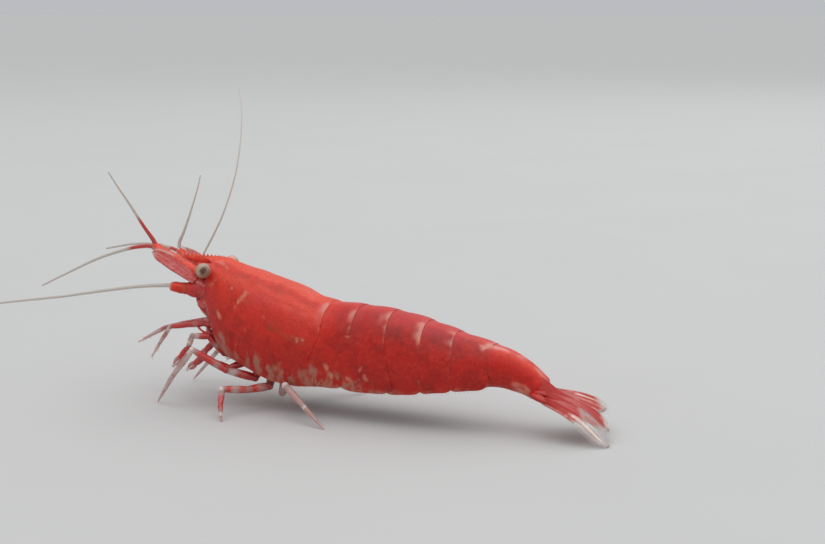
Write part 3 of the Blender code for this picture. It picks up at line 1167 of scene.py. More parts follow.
class Markings:
    """The animal's pattern, with painted highlight and painted shade, as masks over the shell. Both sides
    are nearly alike.
    """

    JOINTS = tuple(accumulate(BodyPlan.tergites[:5]))
    LANE_PER_MM = 0.17
    RIGHT_SHIFT = 0.12
    CRESCENT = (Spot(-3.98, 0.37, 0.16, 0.03, 0.75), Spot(-4.12, 0.41, 0.14, 0.035, 0.9),
                Spot(-4.26, 0.46, 0.13, 0.035, 0.9), Spot(-4.42, 0.52, 0.12, 0.035, 0.7))

    def __init__(self) -> None:
        """List every mark."""
        self.pale_spots = (
            *self.CRESCENT,
            *stroke((-6.02, 0.36), (-6.45, 0.5), 0.12, 0.5),
            Spot(-4.82, 0.38, 0.11, 0.022, 0.8), Spot(-5.58, 0.65, 0.15, 0.028, 0.95),
            Spot(-2.72, 0.49, 0.12, 0.022, 0.55), Spot(-3.64, 0.67, 0.16, 0.03, 0.5),
            Spot(-0.7, 0.57, 0.1, 0.02, 0.95), Spot(-0.38, 0.56, 0.1, 0.02, 0.9),
            Spot(-0.98, 0.565, 0.08, 0.015, 0.5), Spot(2.16, 0.49, 0.13, 0.02, 0.6),
            Spot(2.28, 0.86, 0.22, 0.03, 0.8), Spot(3.0, 0.77, 0.16, 0.03, 0.75),
            Spot(3.2, 0.85, 0.18, 0.03, 0.7), Spot(1.06, 0.79, 0.2, 0.035, 0.85),
            Spot(1.3, 0.87, 0.16, 0.05, 0.8), Spot(-6.6, 0.78, 0.18, 0.04, 0.7),
            Spot(11.35, 0.86, 0.3, 0.09, 0.55), Spot(11.8, 0.98, 0.34, 0.09, 0.8),
            *stroke((11.2, 1.12), (12.4, 1.05), 0.16, 0.6),
            *stroke((-6.6, 0.13), (-5.6, 0.17), 0.16, 0.6),
            *stroke((-5.0, 0.13), (-1.0, 0.15), 0.06, 0.5, 9),
        )
        self.brown_spots = (
            *stroke((-2.3, 0.555), (-1.0, 0.575), 0.2, 0.75),
            *stroke((-2.9, 0.42), (-1.7, 0.47), 0.16, 0.4),
            *stroke((-4.9, 0.26), (-3.5, 0.215), 0.12, 0.5),
            *stroke((-3.3, 0.3), (-2.2, 0.3), 0.14, 0.3),
            *stroke((-5.4, 0.225), (0.0, 0.2), 0.09, 0.55, 26),
            Spot(-0.55, 0.57, 0.42, 0.045, 0.7), Spot(-6.75, 0.66, 0.22, 0.07, 0.6),
            Spot(-3.8, 0.44, 0.12, 0.06, 0.35),
        )
        self.clear_spots = (
            Spot(-5.36, 0.85, 0.2, 0.05, 0.9), Spot(-5.4, 0.97, 0.34, 0.05, 0.9),
            Spot(-4.5, 0.93, 0.24, 0.05, 0.7), Spot(-3.1, 0.86, 0.18, 0.05, 0.75),
            Spot(-2.24, 0.92, 0.2, 0.07, 0.85), Spot(-1.68, 0.86, 0.16, 0.06, 0.6),
            Spot(-0.34, 0.88, 0.24, 0.07, 0.95), Spot(0.18, 0.84, 0.2, 0.06, 0.9),
            Spot(-1.0, 0.95, 0.2, 0.05, 0.7), Spot(1.18, 0.87, 0.22, 0.07, 0.8),
            Spot(2.4, 0.93, 0.25, 0.05, 0.6), Spot(1.12, 0.99, 0.9, 0.03, 0.7),
            Spot(4.26, 0.98, 0.8, 0.025, 0.7), Spot(6.3, 0.98, 0.6, 0.02, 0.5),
            Spot(7.9, 0.98, 0.6, 0.025, 0.5),
        )

    def _strongest(self, spots: Iterable[Spot], at: ShellPoint) -> float:
        """Strongest of some spots, a little shifted on the right side.

        Args:
            spots: The spots.
            at: The place on the shell.

        Returns:
            The mask.
        """
        shift = self.RIGHT_SHIFT if at.lane > 0 else 0.0
        place = Vector((at.x * 1.9, at.lane * 11.0, 2.6))
        along = at.x + shift + 0.16 * noise.noise(place) + 0.08 * noise.noise(place * 2.7)
        across = at.side + 0.026 * noise.noise(place * 1.3 + Vector((5, 1, 9)))
        return max(spot.at(along, across) for spot in spots)

    def dorsal(self, at: ShellPoint) -> float:
        """Painted highlight along the back, salmon, widest on the carapace and brightest on the tail.

        Args:
            at: The place on the shell.

        Returns:
            The mask.
        """
        side = at.side + 0.045 * ripple(at.x * 1.7, at.lane * 6.0, 9.1)
        # Painted highlight: brightest on the ridge, a weaker band beside it, and a faint wash down the
        # carapace's upper flanks.
        ridge = 0.85 * fade(0.09, 0.19, side)
        second = 0.42 * hump(0.29, 0.07, side) + 0.18 * fade(0.45, 0.75, side)
        carapace = fade(-0.4, 1.4, at.x) * max(ridge, second)
        tergites = 0.35 * soft_step(-0.4, 1.4, at.x) * fade(0.04, 0.22, side)
        tail = 0.5 * soft_step(8.2, 9.6, at.x) * hump(0.14, 0.13, side)
        return min(carapace + max(tergites, tail), 1.0)

    def deep(self, at: ShellPoint) -> float:
        """Darker red: painted shade low on the flanks and in a band high on the abdomen's flanks, with a
        deeper red over the abdomen and in a streak beside the back.

        Args:
            at: The place on the shell.

        Returns:
            The mask.
        """
        x, side = at.x, at.side
        abdomen = 0.32 * soft_step(-0.2, 3.2, x) * (1 - 0.6 * soft_step(8.5, 10.5, x))
        # Painted shade, darker towards the lower edge, most on the carapace.
        low = blend(0.42, 0.12, soft_step(-0.5, 2.0, x)) * soft_step(0.4, 0.85, side)
        # Painted shade in a band on the abdomen's upper flanks, below the painted highlight.
        abdomen += 0.28 * hump(0.36, 0.12, side) * soft_step(0.8, 2.2, x) * fade(8.5, 10.0, x)
        broken = 0.6 + 0.8 * ripple(x * 2.2, 3.3, 0.4)
        wander = 0.03 * ripple(x * 0.9, at.lane, 5.2)
        streak = 0.62 * hump(0.2 + wander, 0.02, side) * broken
        streak *= soft_step(-6.2, -5.4, x) * fade(-0.6, 0.2, x)
        return max(0.0, min(abdomen + low + streak, 1.0))

    def violet(self, at: ShellPoint) -> float:
        """Purple pink at the front of the head, on the middle plates and behind the joints.

        Args:
            at: The place on the shell.

        Returns:
            The mask.
        """
        x, side = at.x, at.side
        head = hump(-7.1, 0.7, x) * hump(0.62, 0.2, side)
        branchial = 0.35 * hump(-3.0, 1.0, x) * hump(0.36, 0.08, side)
        saddle = 0.4 * soft_step(2.3, 3.8, x) * fade(8.0, 9.2, x) * fade(0.1, 0.4, side)
        joints = max(hump(joint + 0.42, 0.36, x) for joint in self.JOINTS)
        behind = 0.55 * joints * fade(0.12, 0.42, side)
        return min(head + branchial + max(saddle, behind), 1.0)

    def brown(self, at: ShellPoint) -> float:
        """Brownish streaks where the organs show through."""
        return min(self._strongest(self.brown_spots, at), 1.0)

    def clear(self, at: ShellPoint) -> float:
        """Unpigmented patches near the lower edge.

        Args:
            at: The place on the shell.

        Returns:
            The mask.
        """
        x, side = at.x, at.side
        hem = blend(0.75, 0.3, soft_step(-4.4, -2.6, x)) * (1 - 0.5 * soft_step(3.0, 6.0, x))
        broken = soft_step(-0.35, 0.3, ripple(x * 1.9, at.lane * 2.0, 2.4))
        fringe = hem * soft_step(0.86, 0.98, side) * blend(broken, 1.0, soft_step(-4.0, -2.0, x))
        low = soft_step(0.7, 0.9, side) * fade(2.4, 4.4, x)
        place = Vector((x * 3.3, at.lane * 8.5, 5.5))
        blots = 0.6 * soft_step(0.05, 0.5, noise.noise(place) + 0.4 * noise.noise(place * 2.6))
        crease = 1 - 1.8 * abs(noise.noise(place * 0.8 + Vector((3, 7, 1))))
        lace = 0.55 * soft_step(0.72, 0.97, crease)
        spots = 0.8 * self._strongest(self.clear_spots, at)
        return min(spots + fringe + low * max(blots, lace), 1.0)

    def pale(self, at: ShellPoint) -> float:
        """Pale spots, and the pale rear border of a plate.

        Args:
            at: The place on the shell.

        Returns:
            The mask.
        """
        window = soft_step(0.02, 0.16, at.side) * fade(0.42, 0.62, at.side)
        uneven = 0.6 + 0.8 * ripple(at.x * 2.0, at.lane * 9.0, 7.7)
        rim = 0.85 * at.border * fade(0.02, 0.3, at.to_rear) * max(window, 0.42) * uneven
        return min(max(self._strongest(self.pale_spots, at), rim), 1.0)

    def veil(self, at: ShellPoint) -> float:
        """Whitish bloom behind each joint's shoulder, over the tail's root and over the head.

        Args:
            at: The place on the shell.

        Returns:
            The mask.
        """
        x, side = at.x, at.side
        shoulder = soft_step(0.0, 0.14, side) * fade(0.26, 0.5, side)
        uneven = 0.72 + 1.2 * ripple(x * 1.9, at.lane * 7.0, 1.2)
        rim = at.border * fade(0.0, 0.75, at.to_rear) * shoulder
        tail = 0.75 * hump(9.7, 0.8, x) * hump(0.12, 0.15, side)
        tail += 0.8 * hump(11.6, 0.7, x) * hump(0.95, 0.2, side)
        tail += 0.55 * hump(11.5, 1.1, x) * hump(0.06, 0.12, side)
        head = 0.4 * hump(-5.9, 0.7, x) * hump(0.12, 0.1, side)
        return max(0.0, min((rim + tail + head) * uneven, 1.0))

    def paint(self, piece: Piece, places: Sequence[ShellPoint]) -> None:
        """Paint every mask of the shell's finish.

        Args:
            piece: The plate, before its wall is added.
            places: The place of each of its vertices.
        """
        for mask in (self.dorsal, self.deep, self.violet, self.brown, self.clear, self.pale, self.veil):
            Bench.paint(piece, **{mask.__name__: [mask(at) for at in places]})


# --------------------------------------------------------------------------- bristles


@dataclass(frozen=True)
class Bristle:
    """One hair: its root and length in metres, and where it points."""

    root: Vector
    heading: Vector
    length: float
    patch: tuple[float, float]


@dataclass
class BristleField:
    """Many hairs in one mesh, on one kind of host.

    The UV map holds a small patch for each hair, at its root's place on the unwrapped
    host. The field keeps its own random numbers, from its seed.
    """

    name: str
    seed: int
    thick: float = 0.022
    sides: int = 3
    rings: int = 4
    taper: tuple[float, float] = (0.5, 0.08)
    patch: float = 0.003
    hairs: list[Bristle] = field(default_factory=list)
    draw: random.Random = field(init=False)

    def __post_init__(self) -> None:
        """Start the random numbers."""
        self.draw = random.Random(self.seed)

    def aside(self, along: Vector, top: float) -> Vector:
        """Draw a direction across a limb.

        Args:
            along: The limb's direction.
            top: How far up it may point, up to 1.

        Returns:
            The direction.
        """
        draw = self.draw
        way = Vector((draw.uniform(-1, 1), draw.uniform(-1, 1), draw.uniform(-1.0, top)))
        return across_of(way, along)

    def grow(self, root: Vector, heading: Vector, length: float, patch: tuple[float, float]) -> None:
        """Add one hair.

        Args:
            root: Its root, in metres.
            heading: Where it points.
            length: Its length in millimetres.
            patch: Its root's place on the unwrapped host, from 0 to 1.
        """
        self.hairs.append(Bristle(root, heading.normalized(), length * MM, patch))

    def build(self, finishes: Finishes, slot: Slot) -> None:
        """Model one hair, copy it to every root as one mesh, and dress it.

        Args:
            finishes: The animal's finishes.
            slot: The slot of the part that the hairs grow on.
        """
        stations = []
        for k in range(self.rings):
            part = k / (self.rings - 1)
            half = blend(*self.taper, part)
            stations.append(Station(Vector((0, 0, part)), half, half))
        pattern, _rings = Bench.sweep(f"{self.name}_template", stations, self.sides)
        places = [tuple(vertex.co) for vertex in pattern.data.vertices]
        corners = [tuple(face.vertices) for face in pattern.data.polygons]
        bpy.data.objects.remove(pattern, do_unlink=True)
        thick = self.thick * MM
        points: list[Vector] = []
        faces: list[tuple[int, ...]] = []
        tips: list[float] = []
        patches: list[tuple[float, float]] = []
        for hair in self.hairs:
            start = len(points)
            turned = hair.heading.to_track_quat("Z", "Y").to_matrix()
            for x, y, z in places:
                points.append(hair.root + turned @ Vector((x * thick, y * thick, z * hair.length)))
                tips.append(z)
                patches.append((hair.patch[0] + self.patch * x, hair.patch[1] + self.patch * (z - 0.5)))
            faces.extend(tuple(start + k for k in face) for face in corners)
        mesh = bpy.data.meshes.new(self.name)
        mesh.from_pydata(points, [], faces)
        unwrap = mesh.uv_layers.new(name="OFBake")
        for loop in mesh.loops:
            u, v = patches[loop.vertex_index]
            unwrap.data[loop.index].uv = (min(max(u, 0.0), 1.0), min(max(v, 0.0), 1.0))
        piece = bpy.data.objects.new(self.name, mesh)
        bpy.context.scene.collection.objects.link(piece)
        Bench.paint(piece, tip=tips)
        Bench.hand_over(piece, finishes.bristle, slot)


# --------------------------------------------------------------------------- carapace


@dataclass(frozen=True)
class Saw:
    """A row of forward-pointing teeth: its ends, its number of teeth and their height."""

    start: float
    end: float
    count: int
    height: float

    def at(self, part: float) -> float:
        """Height of the saw.

        Args:
            part: The part of the rostrum, from its root.

        Returns:
            The height in millimetres.
        """
        if not self.start < part < self.end:
            return 0.0
        place = (part - self.start) / (self.end - self.start) * self.count
        inside = place - math.floor(place)
        return self.height * (inside**1.6 if inside < 0.86 else (1 - inside) / 0.14)


@dataclass
class Carapace(Assembly):
    """The big shield over head and thorax, with the toothed rostrum in front of it."""

    markings: Markings = field(default_factory=Markings)
    reach: float = math.radians(128)
    wall: float = 0.065
    border: float = 0.8
    overlap: float = 0.5
    rear_lift: float = 0.035
    front: Profile = Profile((
        (0.0, -7.6), (0.05, -7.3), (0.1, -7.0), (0.16, -6.76), (0.22, -6.6), (0.32, -6.52), (0.44, -6.6),
        (0.6, -6.72), (0.7, -6.85), (0.8, -7.12), (0.88, -7.05), (0.94, -6.5), (1.0, -5.6)))
    groove: Profile = Profile(((0.22, -3.7), (0.38, -4.0), (0.52, -4.5), (0.7, -5.2)))
    gill_line: Profile = Profile(((-3.9, 0.3), (-2.0, 0.33), (0.4, 0.3)))
    cells: tuple[int, int] = (130, 110)
    rostrum_ends: tuple[float, float] = (-5.7, -9.55)
    rostrum_cells: tuple[int, int] = (156, 16)
    rostrum_top: Profile = Profile(((0.0, 0.02), (0.2, 0.2), (0.5, 0.24), (0.8, 0.16), (1.0, 0.02)))
    rostrum_low: Profile = Profile(((0.0, 0.02), (0.4, 0.16), (0.7, 0.17), (0.9, 0.09), (1.0, 0.01)))
    rostrum_half: Profile = Profile(((0.0, 0.02), (0.3, 0.17), (0.6, 0.12), (0.9, 0.06), (1.0, 0.008)))
    top_teeth: Saw = Saw(0.1, 0.93, 13, 0.19)
    low_teeth: Saw = Saw(0.55, 0.9, 5, 0.12)
    edge_hairs: int = 130
    tooth_hairs: int = 90

    def build(self) -> None:
        """Build the shield and the rostrum, join them and dress them."""
        whole = Bench.join([self._shield(), self._rostrum()], "carapace_shield")
        Bench.hand_over(whole, self.finishes.shell, Slot.SHELL, ("carapace", "rostrum"))
        self._fringe()

    def rear(self, lane: float) -> float:
        """Station of the rear edge: straight over the back, drawn forwards at its corner."""
        low, corner = soft_step(0.46, 0.78, abs(lane)), soft_step(0.8, 1.0, abs(lane))
        return self.body.joint(0, lane, self.overlap - 0.6 * low - 0.5 * corner)

    def station(self, u: float, lane: float) -> float:
        """Station part u of the way from the front edge to the rear one."""
        return blend(self.front.at(abs(lane)), self.rear(lane), u)

    def relief(self, x: float, lane: float) -> float:
        """Height of the shield's own forms over the plain surface.

        Args:
            x: The station.
            lane: The lane.

        Returns:
            The height in millimetres.
        """
        side = abs(lane)
        groove_fade = soft_step(0.2, 0.28, side) * fade(0.62, 0.72, side)
        groove = -0.05 * groove_fade * hump(self.groove.at(side), 0.26, x)
        cheek = 0.025 * groove_fade * hump(self.groove.at(side) - 0.5, 0.4, x)
        gill_fade = soft_step(-3.9, -3.2, x) * fade(-0.3, 0.4, x)
        gill = -0.03 * gill_fade * hump(self.gill_line.at(x), 0.025, side)
        keel = 0.1 * fade(-6.3, -4.2, x) * hump(0.0, 0.045, lane)
        front_rim = 0.02 * fade(0.06, 0.22, x - self.front.at(side)) * soft_step(0.14, 0.24, side)
        low_rim = 0.03 * soft_step(0.955, 0.985, side)
        rear = self.rear_lift * soft_step(-0.6, 0.0, x) * (1 - 0.5 * soft_step(0.45, 0.7, side))
        rear_rim = -0.03 * fade(0.0, 0.25, self.rear(lane) - x)
        swell = self.body.swell(x, lane)
        dimple = 0.012 * ripple(x * 2.3, lane * 13.0, 8.4)
        return groove + cheek + gill + keel + front_rim + low_rim + rear + rear_rim + swell + dimple

    def _shield(self) -> Piece:
        """The shield with its grooves and rims.

        Returns:
            The shield.
        """

        def place(u: float, v: float) -> Vector:
            """Point of the shield.

            Args:
                u: The part of the way along, from 0 to 1.
                v: The part of the way across or round, from 0 to 1.

            Returns:
                The point, in metres.
            """
            lane = 2 * v - 1
            x = self.station(u, lane)
            return self.body.on_shell(x, lane, self.reach, self.relief(x, lane))

        shield, ways = Bench.sheet("shield", self.cells, place)
        places = []
        for u, v in ways:
            lane = 2 * v - 1
            x = self.station(u, lane)
            places.append(ShellPoint(x, lane, self.rear(lane) - x, self.border))
        self.markings.paint(shield, places)
        Bench.thicken(shield, self.wall, 1.0)
        return shield

    def rostrum_middle(self, part: float) -> tuple[float, float]:
        """Where the rostrum's middle runs.

        Args:
            part: The part of its length, from its root (0) to its tip (1).

        Returns:
            Station and height in millimetres.
        """
        x = blend(*self.rostrum_ends, part)
        straight = 7.53 + 0.03 * (-x - 7.35)
        on_back = self.body.back.at(x) - 0.12
        return x, blend(on_back, straight, soft_step(0.1, 0.45, part))

    def _rostrum(self) -> Piece:
        """The narrow blade with teeth above and below, closed at both ends.

        Returns:
            The rostrum.
        """

        def place(u: float, v: float) -> Vector:
            """Point of the blade, u along it and v round it.

            Args:
                u: The part of the way along, from 0 to 1.
                v: The part of the way across or round, from 0 to 1.

            Returns:
                The point, in metres.
            """
            angle = TURN * v
            x, middle = self.rostrum_middle(u)
            rise = math.sin(angle)
            high = self.rostrum_top.at(u) + self.top_teeth.at(u) * rise**6
            low = self.rostrum_low.at(u) + self.low_teeth.at(u) * rise**6
            side = math.cos(angle)
            y = self.rostrum_half.at(u) * side * (0.55 + 0.45 * abs(side))
            return self.body.place(x, y, middle + (high if rise > 0 else low) * rise)

        blade, ways = Bench.sheet("rostrum_blade", self.rostrum_cells, place)
        # Painted highlight over the blade, weaker towards its tip.
        Bench.paint(blade, dorsal=[0.75 - 0.3 * u for u, _v in ways],
                    clear=[0.08 + 0.45 * soft_step(0.6, 0.95, u) for u, _v in ways],
                    pale=[0.28 * soft_step(0.2, 0.5, u) for u, _v in ways])
        Bench.seal(blade)
        return blade

    def _fringe(self) -> None:
        """Fine hairs along the lower edge, and between the rostrum's teeth."""
        hairs = BristleField("bristles_carapace", 11)
        draw = hairs.draw
        for side in Side:
            for k in range(self.edge_hairs):
                part = k / (self.edge_hairs - 1)
                lane = side.value * 0.995
                root = self.body.on_shell(self.station(part, lane), lane, self.reach, -0.02)
                heading = Vector((-0.35 + 0.3 * draw.random(), -0.3 * side.value, -1.0))
                hairs.grow(root, heading, draw.uniform(0.12, 0.26), (part, 0.5 + 0.49 * side.value))
        for k in range(self.tooth_hairs):
            part = 0.1 + 0.85 * k / (self.tooth_hairs - 1)
            x, middle = self.rostrum_middle(part)
            root = self.body.place(x, draw.uniform(-0.03, 0.03), middle + 0.2 * (1 - part) + 0.02)
            heading = Vector((-0.9 + 0.5 * draw.random(), draw.uniform(-0.3, 0.3), 1.0))
            hairs.grow(root, heading, draw.uniform(0.16, 0.34), (0.1 * part, 0.5))
        hairs.build(self.finishes, Slot.SHELL)


# --------------------------------------------------------------------------- abdomen


@dataclass
class Abdomen(Assembly):
    """Five overlapping plates with side flaps, and the long round sixth segment."""

    markings: Markings = field(default_factory=Markings)
    reach: float = math.radians(122)
    wall: float = 0.055
    tuck: float = 0.22
    low_tucks: tuple[float, ...] = (1.5, 0.42, 0.12, 0.12, 0.12)
    overlap: float = 0.32
    low_overlaps: tuple[float, ...] = (0.06, 0.5, 0.24, 0.22, 0.2)
    rear_lift: float = 0.03
    low_lifts: tuple[float, ...] = (-0.035, -0.022)
    front_drop: float = 0.062
    cells: tuple[int, int] = (40, 90)
    borders: tuple[float, ...] = (0.6, 0.85, 1.0, 0.7, 0.8)
    sixth_cells: tuple[int, int] = (70, 56)
    edge_hairs: int = 34

    def build(self) -> None:
        """Build and dress the plates, the sixth segment and their fringe."""
        plates = [self._plate(index) for index in range(5)]
        for index, plate in enumerate([*plates, self._sixth()]):
            Bench.hand_over(plate, self.finishes.shell, Slot.SHELL, (f"abdomen_{index + 1}",))
        self._fringe()

    def edges(self, index: int, lane: float) -> tuple[float, float]:
        """Stations of a plate's front and rear edges at a lane.

        Args:
            index: The plate's number, from 0.
            lane: The lane.

        Returns:
            Both stations, in millimetres.
        """
        low = soft_step(0.5, 0.8, abs(lane))
        tuck = blend(self.tuck, self.low_tucks[index], low)
        overlap = blend(self.overlap, self.low_overlaps[index], low)
        return self.body.joint(index, lane, -tuck), self.body.joint(index + 1, lane, overlap)

    def spot(self, index: int, u: float, lane: float) -> tuple[float, float, float]:
        """Station, rounded lane and lift of a plate's point.

        Args:
            index: Number of the plate, from 0.
            u: Part of the way from its front edge to its rear one.
            lane: Lane before the corners of the flap are rounded.

        Returns:
            Station, lane and lift in millimetres.
        """
        side = abs(lane)
        x = blend(*self.edges(index, lane), u)
        corner = (0.16 if index == 4 and u > 0.5 else 0.075) * abs(2 * u - 1) ** 5
        rounded = lane * (1 - corner * soft_step(0.6, 1.0, side))
        low = soft_step(0.55, 0.72, side)
        over = self.rear_lift * soft_step(0.45, 0.85, u) - 0.032 * soft_step(0.88, 1.0, u)
        over += 0.018 * soft_step(0.3, 0.8, u) * fade(0.2, 0.45, side)
        under = -self.front_drop * fade(0.0, 0.2, u)
        if index == 1:
            under = blend(under, self.rear_lift, low)
        if index < len(self.low_lifts):
            over = blend(over, self.low_lifts[index], low)
        rim = 0.012 * soft_step(0.9, 0.97, u) + 0.02 * soft_step(0.94, 0.98, side)
        furrow = -0.015 * hump(0.42, 0.07, u) * fade(0.45, 0.6, side)
        return x, rounded, over + under + rim + furrow + self.body.swell(x, lane)

    def _plate(self, index: int) -> Piece:
        """One plate with its two side flaps.

        Args:
            index: The plate's number, from 0.

        Returns:
            The plate.
        """

        def place(u: float, v: float) -> Vector:
            """Point of the plate."""
            x, lane, lift = self.spot(index, u, 2 * v - 1)
            return self.body.on_shell(x, lane, self.reach, lift)

        plate, ways = Bench.sheet(f"abdomen_plate_{index + 1}", self.cells, place)
        places = []
        for u, v in ways:
            x, lane, _lift = self.spot(index, u, 2 * v - 1)
            places.append(ShellPoint(x, lane, self.edges(index, lane)[1] - x, self.borders[index]))
        self.markings.paint(plate, places)
        Bench.thicken(plate, self.wall, 1.0)
        return plate

    def _sixth(self) -> Piece:
        """The tapering sixth segment, closed at both ends.

        Returns:
            The segment.
        """
        body = self.body
        start = body.joint(5, 0.0, -0.2)
        length = body.tergites[5] + 0.1

        def place(u: float, v: float) -> Vector:
            """Point of the segment, u along it and v round it.

            Args:
                u: The part of the way along, from 0 to 1.
                v: The part of the way across or round, from 0 to 1.

            Returns:
                The point, in metres.
            """
            x = start + length * u
            slump = 0.3 * soft_step(0.3, 1.0, u)
            under = 0.05 * fade(0.2, 0.6, u) - 0.07 * fade(0.0, 0.12, u)
            depth = 2.3 - 0.95 * u - 0.16 * soft_step(0.6, 1.0, u) - 0.75 * slump
            half = body.half_width.at(x) + under
            lean = 0.05 + 0.72 * u
            angle = TURN * v
            closing = math.sqrt(max(0.0, 1 - ((0.05 - u) / 0.05) ** 2)) if u < 0.05 else 1.0
            closing *= math.sqrt(max(0.0, 1 - ((u - 0.9) / 0.1) ** 2)) if u > 0.9 else 1.0
            rise = math.cos(angle) * depth / 2 * closing
            ridge = 0.03 * hump(0.32, 0.06, min(v, 1 - v)) * soft_step(0.1, 0.3, u)
            collar = 0.02 * hump(0.93, 0.03, u)
            swell = 0.025 * ripple(x * 0.9, math.cos(angle), 6.2 + math.sin(angle))
            grow = 1 + (ridge + collar + swell) / max(half, 0.3)
            side = min(v, 1 - v) * TURN / self.reach
            sweep_back = body.joint_lean[5] * min(side, 1.0) ** 2 * (1 - u)
            aside = full_sine(angle, 0.85) * half * closing * grow
            return body.place(x - depth * lean / 2 + lean * rise + sweep_back, body.swing(x) + aside,
                              body.back.at(x) + under - slump - depth / 2 + rise * grow)

        segment, ways = Bench.sheet("abdomen_segment_6", self.sixth_cells, place)
        places = []
        for u, v in ways:
            lane = -(v if v < 0.5 else v - 1) * TURN / self.reach
            places.append(ShellPoint(start + length * u, max(-1.0, min(lane, 1.0)), 9.0, 0.0))
        self.markings.paint(segment, places)
        Bench.seal(segment)
        return segment

    def _fringe(self) -> None:
        """Fine hairs along the lower edges of the flaps."""
        hairs = BristleField("bristles_abdomen", 12)
        draw = hairs.draw
        for index in range(5):
            for side in Side:
                for k in range(self.edge_hairs):
                    part = 0.06 + 0.88 * k / (self.edge_hairs - 1)
                    x, lane, lift = self.spot(index, part, side.value * 0.995)
                    root = self.body.on_shell(x, lane, self.reach, lift - 0.02)
                    heading = Vector((draw.uniform(-0.1, 0.5), 0.1 * side.value, -1.0))
                    patch = (0.2 * (index + part), 0.5 + 0.49 * side.value)
                    hairs.grow(root, heading, draw.uniform(0.12, 0.24), patch)
        hairs.build(self.finishes, Slot.SHELL)


# --------------------------------------------------------------------------- limbs


@dataclass(frozen=True)
class Band:
    """A coloured stretch of a limb, as parts of its length."""

    start: float
    end: float
    strength: float = 1.0
    soft: float = 0.018

    def at(self, part: float) -> float:
        """Strength of the band at a part of the limb.

        Args:
            part: The part of the limb's length.

        Returns:
            The strength.
        """
        rise = soft_step(self.start - self.soft, self.start + self.soft, part)
        fall = 1 - soft_step(self.end - self.soft, self.end + self.soft, part)
        return self.strength * rise * fall


def banded(bands: Iterable[Band], part: float) -> float:
    """Strongest of some bands at a part of a limb."""
    return max((band.at(part) for band in bands), default=0.0)


@dataclass(frozen=True)
class LimbPlan:
    """A jointed limb: its joints in body millimetres, its radius at each and its bands."""

    joints: tuple[tuple[float, float, float], ...]
    radii: tuple[float, ...]
    red: tuple[Band, ...] = ()
    pale: tuple[Band, ...] = ()
    flat: float = 1.0


@dataclass(frozen=True)
class Comb:
    """Rows of short hairs along some lengths of a limb.

    The rows say which length, counted from the tip, and how many hairs. Loose hairs stand
    at uneven distances. The step is how the hairs' patches move along the host.
    """

    rows: tuple[tuple[int, int], ...]
    loose: bool
    top: float
    forward: float
    outward: float
    lengths: tuple[float, float]
    step: tuple[float, float]


class LimbedAssembly(Assembly):
    """An assembly with jointed limbs that swell between their joints, or with small lobes."""

    SIDES = 12
    LOBE_SIDES = 10
    SWELLING = ((0.0, 0.82), (0.1, 0.93), (0.24, 1.03), (0.5, 1.05), (0.78, 0.97), (0.9, 0.92))
    FLOOR_CLEARANCE = 0.00012

    def limb(self, name: str, plan: LimbPlan) -> Piece:
        """Sweep a limb, round it, paint its bands and fill its joints.

        Args:
            name: The piece's name.
            plan: The limb's plan.

        Returns:
            The limb.
        """
        stations, parts = self._sections(plan)
        piece, rings = Bench.sweep(name, stations, self.SIDES)
        Bench.paint(piece, red=[banded(plan.red, parts[ring]) for ring in rings],
                    pale=[banded(plan.pale, parts[ring]) for ring in rings])
        Bench.refine(piece)
        knees = []
        for k, joint in enumerate(self.path(plan.joints[1:-1]), 1):
            knee = Bench.ball(f"{name}_knee", joint, 0.9 * plan.radii[k], 3)
            part = parts[len(self.SWELLING) * k]
            Bench.paint(knee, red=banded(plan.red, part), pale=max(banded(plan.pale, part), 0.25))
            knees.append(knee)
        return Bench.join([piece, *knees], name)

    def _sections(self, plan: LimbPlan) -> tuple[list[Station], list[float]]:
        """Cross-sections of a limb.

        Args:
            plan: The limb's plan.

        Returns:
            Its stations, and the part of its length at which each lies.
        """
        joints = self.path(plan.joints)
        stretches = list(zip(joints, joints[1:], plan.radii, plan.radii[1:]))
        total = sum((far - near).length for near, far, _thick, _thin in stretches)
        made: list[Station] = []
        parts: list[float] = []
        passed = 0.0
        for near, far, thick, thin in stretches:
            span = (far - near).length
            for part, swelling in self.SWELLING:
                radius = blend(thick, thin, part) * swelling * MM
                made.append(Station(near.lerp(far, part), radius, radius * plan.flat))
                parts.append((passed + span * part) / total)
            passed += span
        tip = plan.radii[-1] * MM
        made.append(Station(joints[-1], tip, tip * plan.flat))
        parts.append(1.0)
        return made, parts

    def lobe(self, name: str, path: Sequence[Vector], radii: Sequence[float], red: float = 0.0,
             pale: float = 0.0, flat: float = 1.0) -> Piece:
        """A small smooth form on a curved path.

        Args:
            name: The piece's name.
            path: Its middle points, in metres.
            radii: Its radius at each, in millimetres.
            red: How red it is.
            pale: How pale it is.
            flat: Its depth as a part of its width.

        Returns:
            The lobe.
        """
        stations = [Station(point, radius * MM, radius * MM * flat) for point, radius in zip(path, radii)]
        piece, _rings = Bench.sweep(name, stations, self.LOBE_SIDES)
        Bench.paint(piece, red=red, pale=pale)
        Bench.refine(piece)
        return piece

    def comb(self, plan: LimbPlan, comb: Comb, hairs: BristleField, patch: tuple[float, float]) -> None:
        """Grow rows of hair along a limb, out of the floor's way.

        Args:
            plan: The limb's plan.
            comb: The rows.
            hairs: Takes the hairs.
            patch: The limb's place on the unwrapped host.
        """
        for first, count in comb.rows:
            near, far = self.path((plan.joints[first], plan.joints[first + 1]))
            along = (far - near).normalized()
            for k in range(count):
                part = (k + (hairs.draw.random() if comb.loose else 0.6)) / count
                aside = hairs.aside(along, comb.top)
                radius = blend(plan.radii[first], plan.radii[first + 1], part) * MM * 0.9
                root = near.lerp(far, part) + aside * radius
                if root.z < self.FLOOR_CLEARANCE:
                    continue
                place = (patch[0] + comb.step[0] * part, patch[1] + comb.step[1] * first)
                hairs.grow(root, along * comb.forward + aside * comb.outward,
                           hairs.draw.uniform(*comb.lengths), place)


